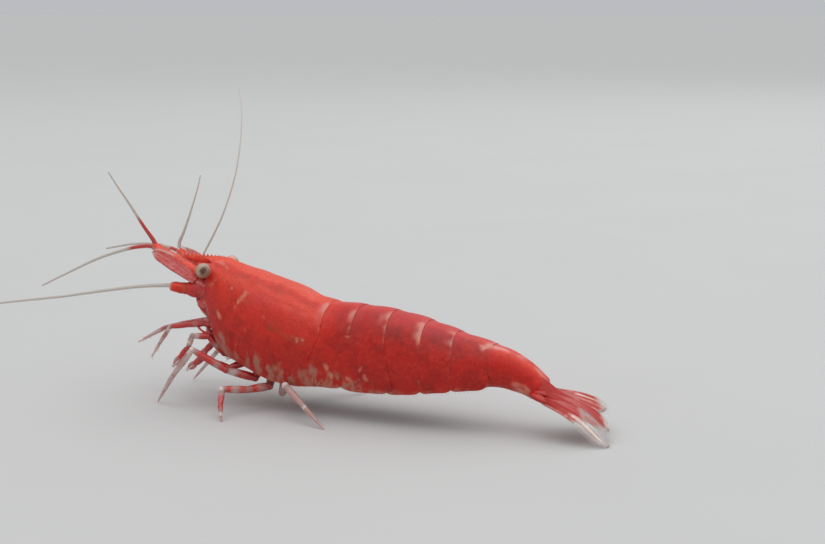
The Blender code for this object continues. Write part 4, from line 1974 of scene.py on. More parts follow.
@dataclass
class WalkingLegs(LimbedAssembly):
    """Five pairs of legs: two with small brushed pincers, three that walk."""

    joints: dict[tuple[Side, int], Route] = field(default_factory=lambda: {
        (Side.LEFT, 1): ((-5.05, -0.55, 2.62), (-5.85, -0.78, 2.68), (-6.6, -1.13, 3.6),
                         (-7.4, -1.5, 3.62), (-7.62, -1.6, 2.95), (-8.45, -1.75, 1.95)),
        (Side.LEFT, 2): ((-4.35, -0.62, 2.38), (-5.2, -1.35, 2.05), (-6.5, -1.9, 2.6), (-7.3, -2.1, 1.95)),
        (Side.LEFT, 3): ((-3.65, -0.62, 2.2), (-3.75, -1.1, 1.6), (-5.0, -2.0, 2.1),
                         (-6.6, -2.75, 3.2), (-7.9, -2.75, 1.6), (-9.0, -2.6, 0.0)),
        (Side.LEFT, 4): ((-2.9, -0.62, 1.98), (-2.75, -1.3, 1.3), (-3.5, -2.3, 1.25),
                         (-4.45, -3.3, 1.4), (-4.15, -3.95, 0.7), (-3.8, -4.45, 0.0)),
        (Side.LEFT, 5): ((-2.1, -0.62, 1.78), (-1.95, -1.35, 1.05), (-1.2, -2.32, 1.72),
                         (0.3, -2.95, 0.85), (1.7, -3.5, 0.0)),
        (Side.RIGHT, 1): ((-5.05, 0.55, 2.62), (-5.85, 0.82, 2.66), (-7.0, 1.17, 3.3),
                          (-7.9, 1.3, 2.6), (-8.7, 1.2, 1.8)),
        (Side.RIGHT, 2): ((-4.35, 0.62, 2.38), (-5.2, 1.35, 2.05), (-6.4, 1.9, 2.4), (-7.4, 2.05, 1.65)),
        (Side.RIGHT, 3): ((-3.65, 0.62, 2.2), (-3.75, 1.1, 1.6), (-5.3, 2.2, 2.3),
                          (-7.0, 2.9, 3.3), (-8.6, 2.7, 1.7), (-10.0, 2.4, 0.0)),
        (Side.RIGHT, 4): ((-2.9, 0.62, 1.98), (-2.8, 1.3, 1.3), (-3.6, 2.4, 1.5),
                          (-4.3, 3.2, 1.8), (-4.9, 3.9, 0.9), (-5.4, 4.4, 0.0)),
        (Side.RIGHT, 5): ((-2.1, 0.62, 1.76), (-1.95, 1.37, 1.02), (-1.4, 2.45, 1.85),
                          (-0.4, 3.2, 0.9), (0.4, 3.8, 0.0)),
    })
    red: dict[int, tuple[Band, ...]] = field(default_factory=lambda: {
        1: (Band(-0.1, 0.3), Band(0.33, 0.57), Band(0.8, 1.1)),
        2: (Band(-0.1, 0.2), Band(0.26, 0.52), Band(0.6, 0.72), Band(0.78, 1.1, 0.8)),
        3: (Band(-0.1, 0.15), Band(0.18, 0.22), Band(0.27, 0.34), Band(0.37, 0.505), Band(0.6, 0.7, 0.45)),
        4: (Band(-0.1, 0.24, 0.7), Band(0.29, 0.38), Band(0.40, 0.49, 0.75), Band(0.54, 0.63),
            Band(0.72, 0.89, 0.75)),
        5: (Band(-0.1, 0.14, 0.6), Band(0.2, 0.34, 0.45), Band(0.48, 0.62, 0.4), Band(0.76, 0.86, 0.3)),
    })
    pale: dict[int, tuple[Band, ...]] = field(default_factory=lambda: {
        1: (Band(0.58, 0.61, 0.7), Band(0.71, 0.78, 0.8)),
        2: (Band(0.22, 0.25, 0.6), Band(0.53, 0.58, 0.8)),
        3: (Band(0.51, 0.56, 0.95), Band(0.76, 0.79, 0.6)),
        4: (Band(0.64, 0.68, 0.95), Band(0.91, 0.95, 0.8)),
        5: (Band(0.39, 0.43, 0.8), Band(0.69, 0.73, 0.8)),
    })
    spread: tuple[float, ...] = (0.25, 0.24, 0.215, 0.185, 0.145)
    claw: float = 0.035
    ankle: float = 0.62
    ankle_radii: tuple[float, float] = (0.155, 0.1)
    palm_radii: tuple[float, float] = (0.21, 0.17)
    finger: float = 0.42
    finger_gap: float = 0.115
    finger_lengths: tuple[tuple[float, float], ...] = ((1.0, 1.0), (-1.0, 0.94))
    finger_bow: tuple[tuple[float, float], ...] = (
        (-0.15, 0.5), (0.1, 0.8), (0.4, 1.0), (0.7, 0.8), (1.0, 0.35))
    finger_radii: tuple[float, ...] = (0.11, 0.115, 0.1, 0.085, 0.045)
    brush_hairs: int = 16
    spines: Comb = Comb(((-3, 9), (-2, 7), (-4, 5)), False, 0.1, 1.1, 0.8, (0.09, 0.17), (0.05, -0.1))

    def build(self) -> None:
        """Build and dress the ten legs and their bristles."""
        hairs = BristleField("bristles_legs", 13, thick=0.02)
        for (side, number), joints in self.joints.items():
            name = f"leg_{number}_{side.label}"
            make = self._pincer_leg if number <= 2 else self._walking_leg
            Bench.hand_over(make(name, number, joints, hairs), self.finishes.limb, Slot.LIMB, (name,))
        hairs.build(self.finishes, Slot.LIMB)

    def _walking_leg(self, name: str, number: int, joints: Route, hairs: BristleField) -> Piece:
        """A leg that ends in a pointed claw on the floor.

        Args:
            name: The leg's name.
            number: 3 to 5, counted from the head.
            joints: Its joints.
            hairs: Takes the leg's spines.

        Returns:
            The leg.
        """
        foot = (joints[-1][0], joints[-1][1], self.claw)
        ankle = Vector(joints[-2]).lerp(Vector(foot), self.ankle)
        radii = (*self.spread[: len(joints) - 2], *self.ankle_radii, self.claw)
        plan = LimbPlan((*joints[:-1], tuple(ankle), foot), radii, self.red[number], self.pale[number])
        leg = self.limb(name, plan)
        self.comb(plan, self.spines, hairs, (0.1 * number, 0.3))
        return leg

    def _pincer_leg(self, name: str, number: int, joints: Route, hairs: BristleField) -> Piece:
        """A leg that ends in a palm with two fingers and their brushes.

        Args:
            name: The leg's name.
            number: 1 or 2, counted from the head.
            joints: Its joints.
            hairs: Takes the brushes.

        Returns:
            The leg.
        """
        wrist, tip = Vector(joints[-2]), Vector(joints[-1])
        reach = (tip - wrist).length
        along = (tip - wrist).normalized()
        palm_end = wrist.lerp(tip, 1 - self.finger)
        count = len(joints)
        radii = tuple(blend(0.23, 0.15, k / (count - 2)) for k in range(count - 1))
        palm = (tuple(wrist.lerp(tip, 0.12)), tuple(palm_end))
        radii = (*radii, *self.palm_radii)
        plan = LimbPlan((*joints[:-1], *palm), radii, self.red[number], self.pale[number])
        pieces = [self.limb(name, plan)]
        open_way = across_of(Vector((0, 0, 1)), along)
        draw = hairs.draw
        for sign, long in self.finger_lengths:
            path = []
            for part, bow in self.finger_bow:
                middle = palm_end + along * (reach * self.finger * long * part)
                path.append(self.body.place(*(middle + open_way * (sign * self.finger_gap * bow))))
            pieces.append(self.lobe(f"{name}_finger", path, self.finger_radii, 0.55, 0.3))
            for _k in range(self.brush_hairs):
                aim = along + 0.45 * Vector([draw.uniform(-1, 1) for _axis in range(3)])
                root = path[-1] - along * (0.05 * draw.random() * MM)
                hairs.grow(root, aim, draw.uniform(0.18, 0.34), (0.1 * number, 0.6 + 0.1 * sign))
        return Bench.join(pieces, name)


@dataclass
class MouthFeet(LimbedAssembly):
    """The third mouth-feet, long and leg-like, held out under the head."""

    joints: dict[Side, Route] = field(default_factory=lambda: {
        Side.LEFT: ((-6.55, -0.62, 4.1), (-7.1, -0.78, 4.2), (-8.0, -1.0, 4.08), (-9.02, -1.2, 3.92),
                    (-9.7, -1.24, 2.95), (-10.26, -1.26, 2.11)),
        Side.RIGHT: ((-6.55, 0.6, 4.1), (-7.1, 0.74, 4.2), (-8.7, 0.5, 3.9), (-10.3, 0.25, 3.5),
                     (-11.2, 0.1, 3.0), (-12.0, 0.0, 2.55)),
    })
    radii: tuple[float, ...] = (0.2, 0.185, 0.16, 0.13, 0.105, 0.025)
    red: tuple[Band, ...] = (Band(-0.1, 0.22), Band(0.24, 0.52), Band(0.6, 0.74, 0.6))
    pale: tuple[Band, ...] = (Band(0.53, 0.58, 0.8), Band(0.8, 1.1, 0.6))
    brush: Comb = Comb(((-3, 26), (-2, 34)), True, 0.6, 1.0, 0.9, (0.14, 0.26), (0.2, -0.05))

    def build(self) -> None:
        """Build and dress both mouth-feet and their bristles."""
        hairs = BristleField("bristles_mouth_feet", 14, thick=0.02)
        for side, joints in self.joints.items():
            plan = LimbPlan(joints, self.radii, self.red, self.pale)
            name = f"mouth_foot_{side.label}"
            Bench.hand_over(self.limb(name, plan), self.finishes.limb, Slot.LIMB, (name,))
            self.comb(plan, self.brush, hairs, (0.5, 0.5 + 0.2 * side.value))
        hairs.build(self.finishes, Slot.LIMB)


# --------------------------------------------------------------------------- head


@dataclass
class Core(LimbedAssembly):
    """The flesh inside the shells: face, underside that carries the legs, and belly."""

    sections: tuple[tuple[float, float, float, float], ...] = (
        (-7.78, 5.35, 5.95, 0.2), (-7.6, 5.0, 6.25, 0.5), (-7.3, 4.68, 6.6, 0.74),
        (-6.95, 4.4, 6.85, 0.86), (-6.5, 4.05, 7.1, 1.0), (-5.9, 3.65, 7.2, 1.25), (-5.0, 3.05, 7.15, 1.52),
        (-4.0, 2.72, 6.95, 1.7), (-2.6, 2.25, 6.6, 1.78), (-1.2, 2.05, 6.2, 1.76), (-0.4, 2.15, 5.9, 1.7),
        (0.5, 2.9, 5.68, 1.62), (1.4, 3.25, 5.6, 1.58), (3.0, 3.3, 5.5, 1.55), (5.0, 3.3, 5.3, 1.48),
        (7.0, 3.3, 4.9, 1.25), (8.6, 3.15, 4.45, 1.0), (9.6, 3.0, 4.15, 0.8), (9.9, 3.2, 3.9, 0.4))
    cells: tuple[int, int] = (170, 44)
    lobe_steps: int = 3
    lobe_flat: float = 0.58
    lobe_bumps: float = 0.035
    mouthparts: tuple[tuple[str, Route, tuple[float, ...]], ...] = (
        ("palp", ((-6.0, 0.62, 3.55), (-6.45, 0.8, 3.55), (-6.85, 0.72, 3.85), (-7.0, 0.5, 4.25)),
         (0.18, 0.26, 0.2, 0.04)),
        ("paddle", ((-5.7, 0.38, 3.2), (-6.2, 0.46, 3.2), (-6.6, 0.42, 3.5), (-6.8, 0.28, 3.95)),
         (0.18, 0.28, 0.22, 0.04)),
        ("jaw", ((-6.5, 0.7, 4.5), (-6.95, 0.62, 4.3), (-7.2, 0.32, 4.3), (-7.28, 0.1, 4.45)),
         (0.24, 0.3, 0.22, 0.06)),
        ("whip", ((-6.2, 0.95, 3.75), (-6.7, 1.05, 3.72), (-7.15, 1.0, 3.86), (-7.55, 0.85, 4.1)),
         (0.1, 0.12, 0.09, 0.03)),
        ("upper_socket", ((-6.3, 0.95, 6.2), (-6.8, 1.04, 6.38), (-7.2, 1.05, 6.5), (-7.5, 0.98, 6.6)),
         (0.32, 0.38, 0.34, 0.2)),
        ("lower_socket", ((-6.3, 0.85, 5.2), (-6.8, 0.86, 5.3), (-7.2, 0.78, 5.5), (-7.5, 0.55, 5.8)),
         (0.42, 0.5, 0.42, 0.08)),
        ("cheek", ((-6.2, 0.66, 4.6), (-6.75, 0.66, 4.8), (-7.15, 0.5, 5.0), (-7.45, 0.2, 5.2)),
         (0.4, 0.46, 0.38, 0.08)),
        ("lip", ((-7.3, 0.06, 5.8), (-7.66, 0.1, 5.45), (-7.68, 0.11, 5.05), (-7.4, 0.08, 4.7)),
         (0.12, 0.32, 0.3, 0.1)),
    )

    def build(self) -> None:
        """Build and dress the flesh with its mouthparts."""
        whole = Bench.join([self._trunk(), *self._mouthparts()], "flesh_core")
        Bench.hand_over(whole, self.finishes.flesh, Slot.BODY, ("head", "thorax"))

    def _curve(self, column: int) -> Profile:
        """One of the sections' sizes along the body."""
        return Profile(tuple((section[0], section[column]) for section in self.sections))

    def _trunk(self) -> Piece:
        """One closed skin from the face to the end of the belly.

        Returns:
            The skin.
        """
        low, top, half = self._curve(1), self._curve(2), self._curve(3)
        start, end = self.sections[0][0], self.sections[-1][0]

        def place(u: float, v: float) -> Vector:
            """Point of the skin, u along it and v round it.

            Args:
                u: The part of the way along, from 0 to 1.
                v: The part of the way across or round, from 0 to 1.

            Returns:
                The point, in metres.
            """
            x = blend(start, end, u)
            closing = 0.02 if u in (0.0, 1.0) else 1.0
            angle = TURN * v
            depth = (top.at(x) - low.at(x)) / 2 * closing
            middle = (top.at(x) + low.at(x)) / 2
            wide = full_sine(angle, 0.85) * half.at(x) * closing
            under = max(0.0, -math.cos(angle))
            ribs = 0.07 * math.cos(TURN * (x - 0.4) / 0.75) * under**2 * soft_step(-5.5, -4.6, x)
            belly = 0.06 * math.cos(TURN * (x - 0.8) / 1.85) * under**2 * soft_step(0.4, 1.4, x)
            spot = Vector((x * 2.0, 1.2 * math.cos(angle), 4.4 + 1.2 * math.sin(angle)))
            bumps = (0.07 * noise.noise(spot) + 0.05 * noise.noise(spot * 2.3)) * fade(-6.2, -5.2, x)
            z = middle + math.cos(angle) * (depth + (ribs + belly + bumps) * closing)
            return self.body.place(x, self.body.swing(x) + wide * (1 + bumps), z)

        trunk, ways = Bench.sheet("trunk", self.cells, place)
        stations = [blend(start, end, u) for u, _v in ways]
        heights = [vertex.co.z / MM for vertex in trunk.data.vertices]
        Bench.paint(trunk, violet=[0.5 * fade(-7.1, -6.1, x) * soft_step(4.7, 5.3, z)
                                   for x, z in zip(stations, heights)],
                    pale=[0.3 * soft_step(-5.6, -4.4, x) * fade(-1.0, 0.5, x) for x in stations])
        Bench.seal(trunk, 2e-5)
        return trunk

    def _mouthparts(self) -> list[Piece]:
        """Pairs of small curved lobes under and on the face.

        Returns:
            The lobes.
        """
        lobes = []
        for label, points, radii in self.mouthparts:
            for side in Side:
                path = smooth_path(self.path(points, side.value), self.lobe_steps)
                lobe = self.lobe(f"{label}_{side.label}", path, self._spread(radii), flat=self.lobe_flat)
                Bench.refine(lobe)
                for vertex in lobe.data.vertices:
                    vertex.co += vertex.normal * (self.lobe_bumps * MM * noise.noise(vertex.co * 3600.0))
                Bench.paint(lobe, violet=0.4 if "socket" in label else 0.1)
                lobes.append(lobe)
        return lobes

    def _spread(self, values: Sequence[float]) -> list[float]:
        """Values at every step between the given ones.

        Args:
            values: A value for each given point.

        Returns:
            The values.
        """
        steps = [step / self.lobe_steps for step in range(self.lobe_steps)]
        spans = zip(values, values[1:])
        return [*(blend(before, after, part) for before, after in spans for part in steps), values[-1]]


@dataclass
class Eyes(Assembly):
    """Round stalked eyes, each turned out and a little forwards."""

    radius: float = 0.41
    rounds: int = 5
    flattening: float = 0.08
    pupil_aim: Point = (0.5, 0.85, 0.1)
    stalk: tuple[tuple[float, float, float, float], ...] = (
        (-7.22, 0.05, 6.98, 0.2), (-7.18, 0.35, 7.03, 0.24), (-7.08, 0.66, 7.1, 0.27),
        (-6.9, 0.98, 7.16, 0.31), (-6.76, 1.22, 7.2, 0.35), (-6.7, 1.33, 7.22, 0.36))
    stalk_sides: int = 14

    def build(self) -> None:
        """Build and dress both eyes with their stalks."""
        for side in Side:
            self._eyeball(side)
            self._stalk(side)

    def _eyeball(self, side: Side) -> None:
        """One cornea, a ball slightly flattened along its stalk.

        Args:
            side: The side.
        """
        low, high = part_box(f"eye_{side.label}")
        centre = (low + high) / 2
        ball = Bench.ball(f"eye_ball_{side.label}", centre, self.radius, self.rounds)
        outward = Vector((0.45, side.value, 0.14)).normalized()
        for vertex in ball.data.vertices:
            away = vertex.co - centre
            vertex.co -= outward * (self.flattening * away.dot(outward))
        forward, out, up = self.pupil_aim
        aim = Vector((forward, out * side.value, up)).normalized()
        second = (aim + Vector((0.35, 0, 0.5))).normalized()
        front = Vector((-0.95, 0.22 * side.value, 0.05)).normalized()
        # Where the painted shade on the ball's lower rear is darkest.
        corner = (aim + Vector((0.7, 0, -0.7))).normalized()
        pupil, shade, rim = [], [], []
        for vertex in ball.data.vertices:
            away = (vertex.co - centre).normalized()
            waver = 0.05 * noise.noise(away * 2.6) + 0.02 * noise.noise(away * 6.5)
            near = soft_step(0.84, 0.97, away.dot(aim) + waver)
            beside = 0.7 * soft_step(0.9, 1.0, away.dot(second) - waver)
            ahead = 0.8 * soft_step(0.84, 0.97, away.dot(front) + waver)
            pupil.append(min(max(near + beside, ahead), 1.0))
            # Painted shade, growing towards the ball's lower rear.
            shade.append(soft_step(0.35, 0.95, away.dot(corner) + 0.5 * waver))
            rim.append(fade(-0.1, 0.45, away.dot(outward) + 3 * waver))
        Bench.paint(ball, pupil=pupil, shade=shade, rim=rim)
        Bench.hand_over(ball, self.finishes.eye, Slot.EYE, (f"eye_{side.label}",))

    def _stalk(self, side: Side) -> None:
        """The stalk from under the rostrum out to the eye.

        Args:
            side: The side.
        """
        middles = self.path([row[:3] for row in self.stalk], side.value)
        stations = [Station(middle, row[3] * MM, row[3] * MM) for middle, row in zip(middles, self.stalk)]
        stalk, rings = Bench.sweep(f"eye_stalk_{side.label}", stations, self.stalk_sides)
        parts = [ring / (len(stations) - 1) for ring in rings]
        # The stalk takes the painted highlight's salmon and a little darker red evenly all over, as its
        # colour.
        Bench.paint(stalk, dorsal=0.6, deep=0.2, violet=0.2, clear=0.2,
                    pale=[0.1 + 0.3 * soft_step(0.8, 1.0, part) for part in parts],
                    brown=[0.9 * hump(0.78, 0.14, part) for part in parts])
        Bench.refine(stalk, 2)
        Bench.hand_over(stalk, self.finishes.shell, Slot.BODY, (f"eyestalk_{side.label}",))


# --------------------------------------------------------------------------- feelers


@dataclass(frozen=True)
class LashPlan:
    """A many-ringed feeler: its route, its thickness and how far its red reaches."""

    route: Route
    root_radius: float
    tip_radius: float
    red_to: float
    ring: float = 0.13


@dataclass
class Feelers(LimbedAssembly):
    """Both pairs of feelers with their bases, scales and lashes."""

    lash_sides: int = 8
    lash_steps: int = 24
    antennule_bases: dict[Side, Route] = field(default_factory=lambda: {
        Side.LEFT: ((-7.1, -0.5, 6.5), (-7.62, -0.64, 6.82), (-8.6, -0.7, 7.35), (-9.55, -0.63, 7.86),
                    (-10.38, -0.5, 8.18)),
        Side.RIGHT: ((-7.1, 0.5, 6.5), (-7.62, 0.62, 6.75), (-8.4, 0.74, 7.08), (-9.2, 0.95, 7.4),
                     (-9.86, 1.12, 7.7)),
    })
    antennule_radii: tuple[float, ...] = (0.4, 0.46, 0.42, 0.35, 0.25)
    antennule_red: tuple[Band, ...] = (Band(-0.1, 1.1),)
    antennule_pale: tuple[Band, ...] = (
        Band(0.42, 0.45, 0.4), Band(0.71, 0.735, 0.5), Band(0.975, 1.1, 0.8))
    side_spine: Route = ((-7.75, 0.98, 6.72), (-8.2, 1.06, 6.92), (-8.65, 1.04, 7.14), (-8.95, 0.98, 7.3))
    side_spine_radii: tuple[float, ...] = (0.16, 0.13, 0.07, 0.015)
    antenna_base: Route = ((-6.7, 0.85, 6.1), (-7.12, 1.02, 6.12), (-7.85, 1.34, 6.16), (-8.7, 1.5, 6.25))
    antenna_radii: tuple[float, ...] = (0.58, 0.54, 0.35, 0.26)
    antenna_red: tuple[Band, ...] = (Band(-0.1, 0.93),)
    antenna_pale: tuple[Band, ...] = (Band(0.52, 0.55, 0.4), Band(0.94, 1.1, 1.0))
    lashes: dict[str, LashPlan] = field(default_factory=lambda: {
        "antennule_outer_left": LashPlan(
            ((-10.3, -0.5, 8.3), (-10.46, -0.56, 8.62), (-10.87, -0.8, 9.35), (-11.39, -1.2, 10.48),
             (-11.8, -1.6, 11.4), (-12.18, -2.0, 12.32)), 0.15, 0.035, 0.36),
        "antennule_outer_right": LashPlan(
            ((-9.82, 1.1, 7.9), (-9.82, 1.14, 8.24), (-9.56, 1.2, 8.8), (-9.26, 1.4, 9.8),
             (-8.98, 1.75, 11.1), (-8.9, 2.0, 11.9)), 0.115, 0.03, 0.0),
        "antennule_inner_left": LashPlan(
            ((-10.5, -0.48, 8.14), (-10.98, -0.5, 8.14), (-12.1, -0.62, 7.92), (-13.9, -0.85, 7.3),
             (-15.9, -1.15, 6.35), (-17.4, -1.45, 5.6)), 0.13, 0.045, 0.2),
        "antennule_inner_right": LashPlan(
            ((-9.98, 1.1, 7.74), (-10.42, 0.98, 7.9), (-11.1, 0.6, 8.1), (-12.4, 0.3, 8.05),
             (-14.1, 0.2, 7.7)), 0.12, 0.05, 0.1),
        "antenna_lash_left": LashPlan(
            ((-8.6, -1.5, 6.26), (-8.86, -1.62, 6.3), (-10.19, -2.2, 6.24), (-12.25, -3.0, 5.95),
             (-14.2, -4.0, 5.66), (-17.0, -5.4, 5.34), (-20.2, -7.0, 4.9), (-23.4, -8.4, 4.2),
             (-26.6, -9.5, 3.2)), 0.115, 0.035, 0.0),
        "antenna_lash_right": LashPlan(
            ((-8.6, 1.5, 6.26), (-8.88, 1.6, 6.26), (-9.5, 2.3, 6.45), (-9.35, 2.9, 7.4), (-8.9, 3.3, 8.5),
             (-8.5, 3.8, 9.8), (-8.4, 4.8, 11.6), (-8.8, 6.1, 13.4), (-9.6, 7.6, 15.0),
             (-10.7, 9.2, 16.3)), 0.085, 0.025, 0.0),
    })
    scale_root: Point = (-7.2, 1.4, 6.66)
    scale_tips: dict[Side, Point] = field(default_factory=lambda: {
        Side.LEFT: (-9.85, -1.42, 8.06), Side.RIGHT: (-9.9, 1.95, 7.8)})
    scale_tilts: dict[Side, float] = field(default_factory=lambda: {Side.LEFT: -0.42, Side.RIGHT: -0.1})
    scale_cells: tuple[int, int] = (56, 26)
    scale_wall: float = 0.09
    scale_outer: Profile = Profile((
        (0.0, 0.2), (0.3, 0.3), (0.7, 0.31), (0.86, 0.27), (0.9, 0.19), (1.0, 0.02)))
    scale_inner: Profile = Profile((
        (0.0, 0.22), (0.3, 0.44), (0.6, 0.48), (0.85, 0.38), (0.96, 0.19), (1.0, 0.02)))
    top_hairs: int = 90
    scale_hairs: int = 80

    def build(self) -> None:
        """Build and dress bases, scales, lashes and their bristles."""
        hairs = BristleField("bristles_feelers", 15, thick=0.014)
        for side in Side:
            self._antennule_base(side, hairs)
            self._antenna_base(side)
            self._scale(side, hairs)
        for name, lash in self.lashes.items():
            self._lash(name, lash)
        hairs.build(self.finishes, Slot.LIMB)

    def _antennule_base(self, side: Side, hairs: BristleField) -> None:
        """The stout three-jointed base with its side spine and a fringe on top.

        Args:
            side: The side.
            hairs: Takes the hairs.
        """
        name = f"antennule_base_{side.label}"
        plan = LimbPlan(self.antennule_bases[side], self.antennule_radii, self.antennule_red,
                        self.antennule_pale, 0.9)
        base = self.limb(name, plan)
        self._roughen(base)
        path = self.path(self.side_spine, side.value)
        spine = self.lobe(f"{name}_spine", path, self.side_spine_radii, red=1.0, flat=0.8)
        whole = Bench.join([base, spine], name)
        self._shell_masks(whole)
        Bench.hand_over(whole, self.finishes.shell, Slot.SHELL, (name,))
        draw = hairs.draw
        for k in range(self.top_hairs):
            part = k / (self.top_hairs - 1)
            root, radius = self._on_limb(plan, part)
            aside = Vector((0.15, draw.uniform(-0.5, 0.5), 1.0)).normalized()
            heading = aside + Vector((-0.6, draw.uniform(-0.3, 0.3), 0.1))
            hairs.grow(root + aside * radius * 0.85, heading, draw.uniform(0.14, 0.34), (0.3 * part, 0.8))

    def _on_limb(self, plan: LimbPlan, part: float) -> tuple[Vector, float]:
        """Middle point and radius, in metres, at a part of a limb.

        Args:
            plan: The limb's plan.
            part: The part of its length.

        Returns:
            The point and the radius.
        """
        last = len(plan.joints) - 1
        place = min(part * last, last - 1e-6)
        k = int(place)
        near, far = self.path(plan.joints[k : k + 2])
        return near.lerp(far, place - k), blend(plan.radii[k], plan.radii[k + 1], place - k) * MM

    @staticmethod
    def _roughen(piece: Piece) -> None:
        """Give a base its small uneven bumps, strongest on top.

        Args:
            piece: The base.
        """
        piece.data.update()
        for vertex in piece.data.vertices:
            up = 0.4 + 0.6 * max(0.0, vertex.normal.z)
            bump = noise.noise(vertex.co * 4200.0) + 0.5 * noise.noise(vertex.co * 9000.0)
            vertex.co += vertex.normal * (0.05 * MM * up * bump)

    def _shell_masks(self, piece: Piece, violet_from: float = 9.0) -> None:
        """Paint the shell finish's masks from a limb's own, with painted highlight on top and painted shade
        below.

        Args:
            piece: The limb.
            violet_from: The station behind which it turns violet.
        """
        data = piece.data
        data.update()
        red = [item.value for item in data.attributes["red"].data]
        # How far each face turns up, for the painted light below.
        up = [soft_step(0.1, 0.9, vertex.normal.z) for vertex in data.vertices]
        stations = [(vertex.co.x - self.body.origin.x) / MM for vertex in data.vertices]
        violet = [soft_step(violet_from - 0.45, violet_from + 0.3, x) for x in stations]
        # Painted highlight where the faces turn up, and painted shade where they turn down.
        Bench.paint(piece, dorsal=[(0.2 + 0.6 * part) * (1 - lilac) for part, lilac in zip(up, violet)],
                    clear=[max(0.8 * (1 - part), 0.35 * lilac) for part, lilac in zip(red, violet)],
                    deep=[0.1 * (1 - part) for part in up],
                    violet=[0.5 * lilac for lilac in violet], brown=0.0)

    def _antenna_base(self, side: Side) -> None:
        """The base of the long feeler, with a pale ring at its end.

        Args:
            side: The side.
        """
        name = f"antenna_base_{side.label}"
        joints = tuple((x, y * side.value, z) for x, y, z in self.antenna_base)
        base = self.limb(name, LimbPlan(joints, self.antenna_radii, self.antenna_red, self.antenna_pale))
        self._roughen(base)
        self._shell_masks(base, -7.4)
        Bench.hand_over(base, self.finishes.shell, Slot.SHELL, (name,))

    def _scale(self, side: Side, hairs: BristleField) -> None:
        """The flat scale: straight outer edge with a tooth, round inner edge with a fringe.

        Args:
            side: The side.
            hairs: Takes the hairs.
        """
        name = f"antenna_scale_{side.label}"
        root, = self.path([self.scale_root], side.value)
        tip = self.body.place(*self.scale_tips[side])
        length = (tip - root).length
        along = (tip - root).normalized()
        spread = across_of(Vector((0, 0.8 * side.value, self.scale_tilts[side])).normalized(), along)
        face = along.cross(spread).normalized()

        def place(u: float, v: float) -> Vector:
            """Point of the scale, u along it and v across it.

            Args:
                u: The part of the way along, from 0 to 1.
                v: The part of the way across or round, from 0 to 1.

            Returns:
                The point, in metres.
            """
            across = 2 * v - 1
            half = self.scale_outer.at(u) if across > 0 else self.scale_inner.at(u)
            rib = 0.03 * hump(0.15, 0.16, across) * (1 - u) + 0.02 * hump(0.75, 0.1, across)
            camber = 0.08 * (1 - across * across)
            lift = rib + camber + 0.02 * ripple(u * 5, v * 4, side.value)
            aside = spread * (half * across * MM)
            return root + along * (length * u) + aside + face * (lift * MM * side.value)

        scale, ways = Bench.sheet(name, self.scale_cells, place)
        ways = [(u, 2 * v - 1) for u, v in ways]
        stripes = [max(hump(-0.35, 0.07, across), hump(0.2, 0.06, across), hump(0.55, 0.05, across))
                   * soft_step(0.12, 0.3, u) for u, across in ways]
        Bench.paint(scale, pale=[0.42 * stripe for stripe in stripes],
                    red=[0.88 - 0.16 * soft_step(0.62, 0.9, across) - 0.3 * soft_step(0.85, 1.0, u)
                         for u, across in ways],
                    rib=[hump(0.15, 0.12, across) for _u, across in ways])
        Bench.thicken(scale, self.scale_wall, 0.0)
        Bench.hand_over(scale, self.finishes.fan, Slot.SHELL, (name,))
        for k in range(self.scale_hairs):
            part = 0.62 + 0.38 * k / (self.scale_hairs - 1)
            edge = place(part, 0.0 if part < 0.985 else 0.3)
            heading = along * (0.5 + 1.6 * soft_step(0.7, 1.0, part)) - spread
            patch = (0.4 + 0.3 * part, 0.3 + 0.2 * side.value)
            hairs.grow(edge, heading, hairs.draw.uniform(0.2, 0.42), patch)

    def _lash(self, name: str, lash: LashPlan) -> None:
        """One tapering lash of many short rings.

        Args:
            name: The node that the lash stands for.
            lash: The lash's plan.
        """
        path = self._even(smooth_path(self.path(lash.route), self.lash_steps), lash.ring * MM / 2)
        last = len(path) - 1
        stations = []
        for k, point in enumerate(path):
            radius = blend(lash.root_radius, lash.tip_radius, (k / last) ** 0.6) * MM
            radius *= 1.0 if k % 2 else 0.94
            stations.append(Station(point, radius, radius))
        piece, rings = Bench.sweep(name, stations, self.lash_sides)
        red = 0.0
        if lash.red_to:
            red = [fade(0.7 * lash.red_to, 1.3 * lash.red_to, ring / last) for ring in rings]
        Bench.paint(piece, ring=[0.0 if ring % 2 else 0.6 for ring in rings], red=red)
        Bench.hand_over(piece, self.finishes.feeler, Slot.FEELER, (name,), 80.0)

    @staticmethod
    def _even(path: Sequence[Vector], step: float) -> list[Vector]:
        """A path walked in equal steps.

        Args:
            path: The path's points, in metres.
            step: The wanted distance between its points, in metres.

        Returns:
            The walked points.
        """
        total = sum((far - near).length for near, far in zip(path, path[1:]))
        count = max(8, round(total / step))
        walked = [path[0].copy()]
        passed = 0.0
        for near, far in zip(path, path[1:]):
            span = (far - near).length
            while span > 0 and len(walked) <= count and len(walked) * total / count <= passed + span:
                walked.append(near.lerp(far, (len(walked) * total / count - passed) / span))
            passed += span
        if len(walked) <= count:
            walked.append(path[-1].copy())
        return walked


# --------------------------------------------------------------------------- swimming feet and tail


@dataclass(frozen=True)
class Leaf:
    """One thin leaf of a swimming foot, in metres, and how far it bows aside, in millimetres."""

    root: Vector
    end: Vector
    across: Vector
    bow: float
    outline: Profile = Profile(((0.0, 0.08), (0.35, 0.26), (0.7, 0.24), (0.93, 0.12), (1.0, 0.01)))

    def at(self, u: float, v: float) -> Vector:
        """Point of the leaf, u along it and v across it.

        Args:
            u: The part of the way along, from 0 to 1.
            v: The part of the way across or round, from 0 to 1.

        Returns:
            The point, in metres.
        """
        wide = self.outline.at(u) * (2 * v - 1) * MM
        bow = self.bow * (1 + 0.6 * math.sin(math.pi * u)) * MM
        return self.root.lerp(self.end, u) + self.across * wide + Vector((0, bow, 0))


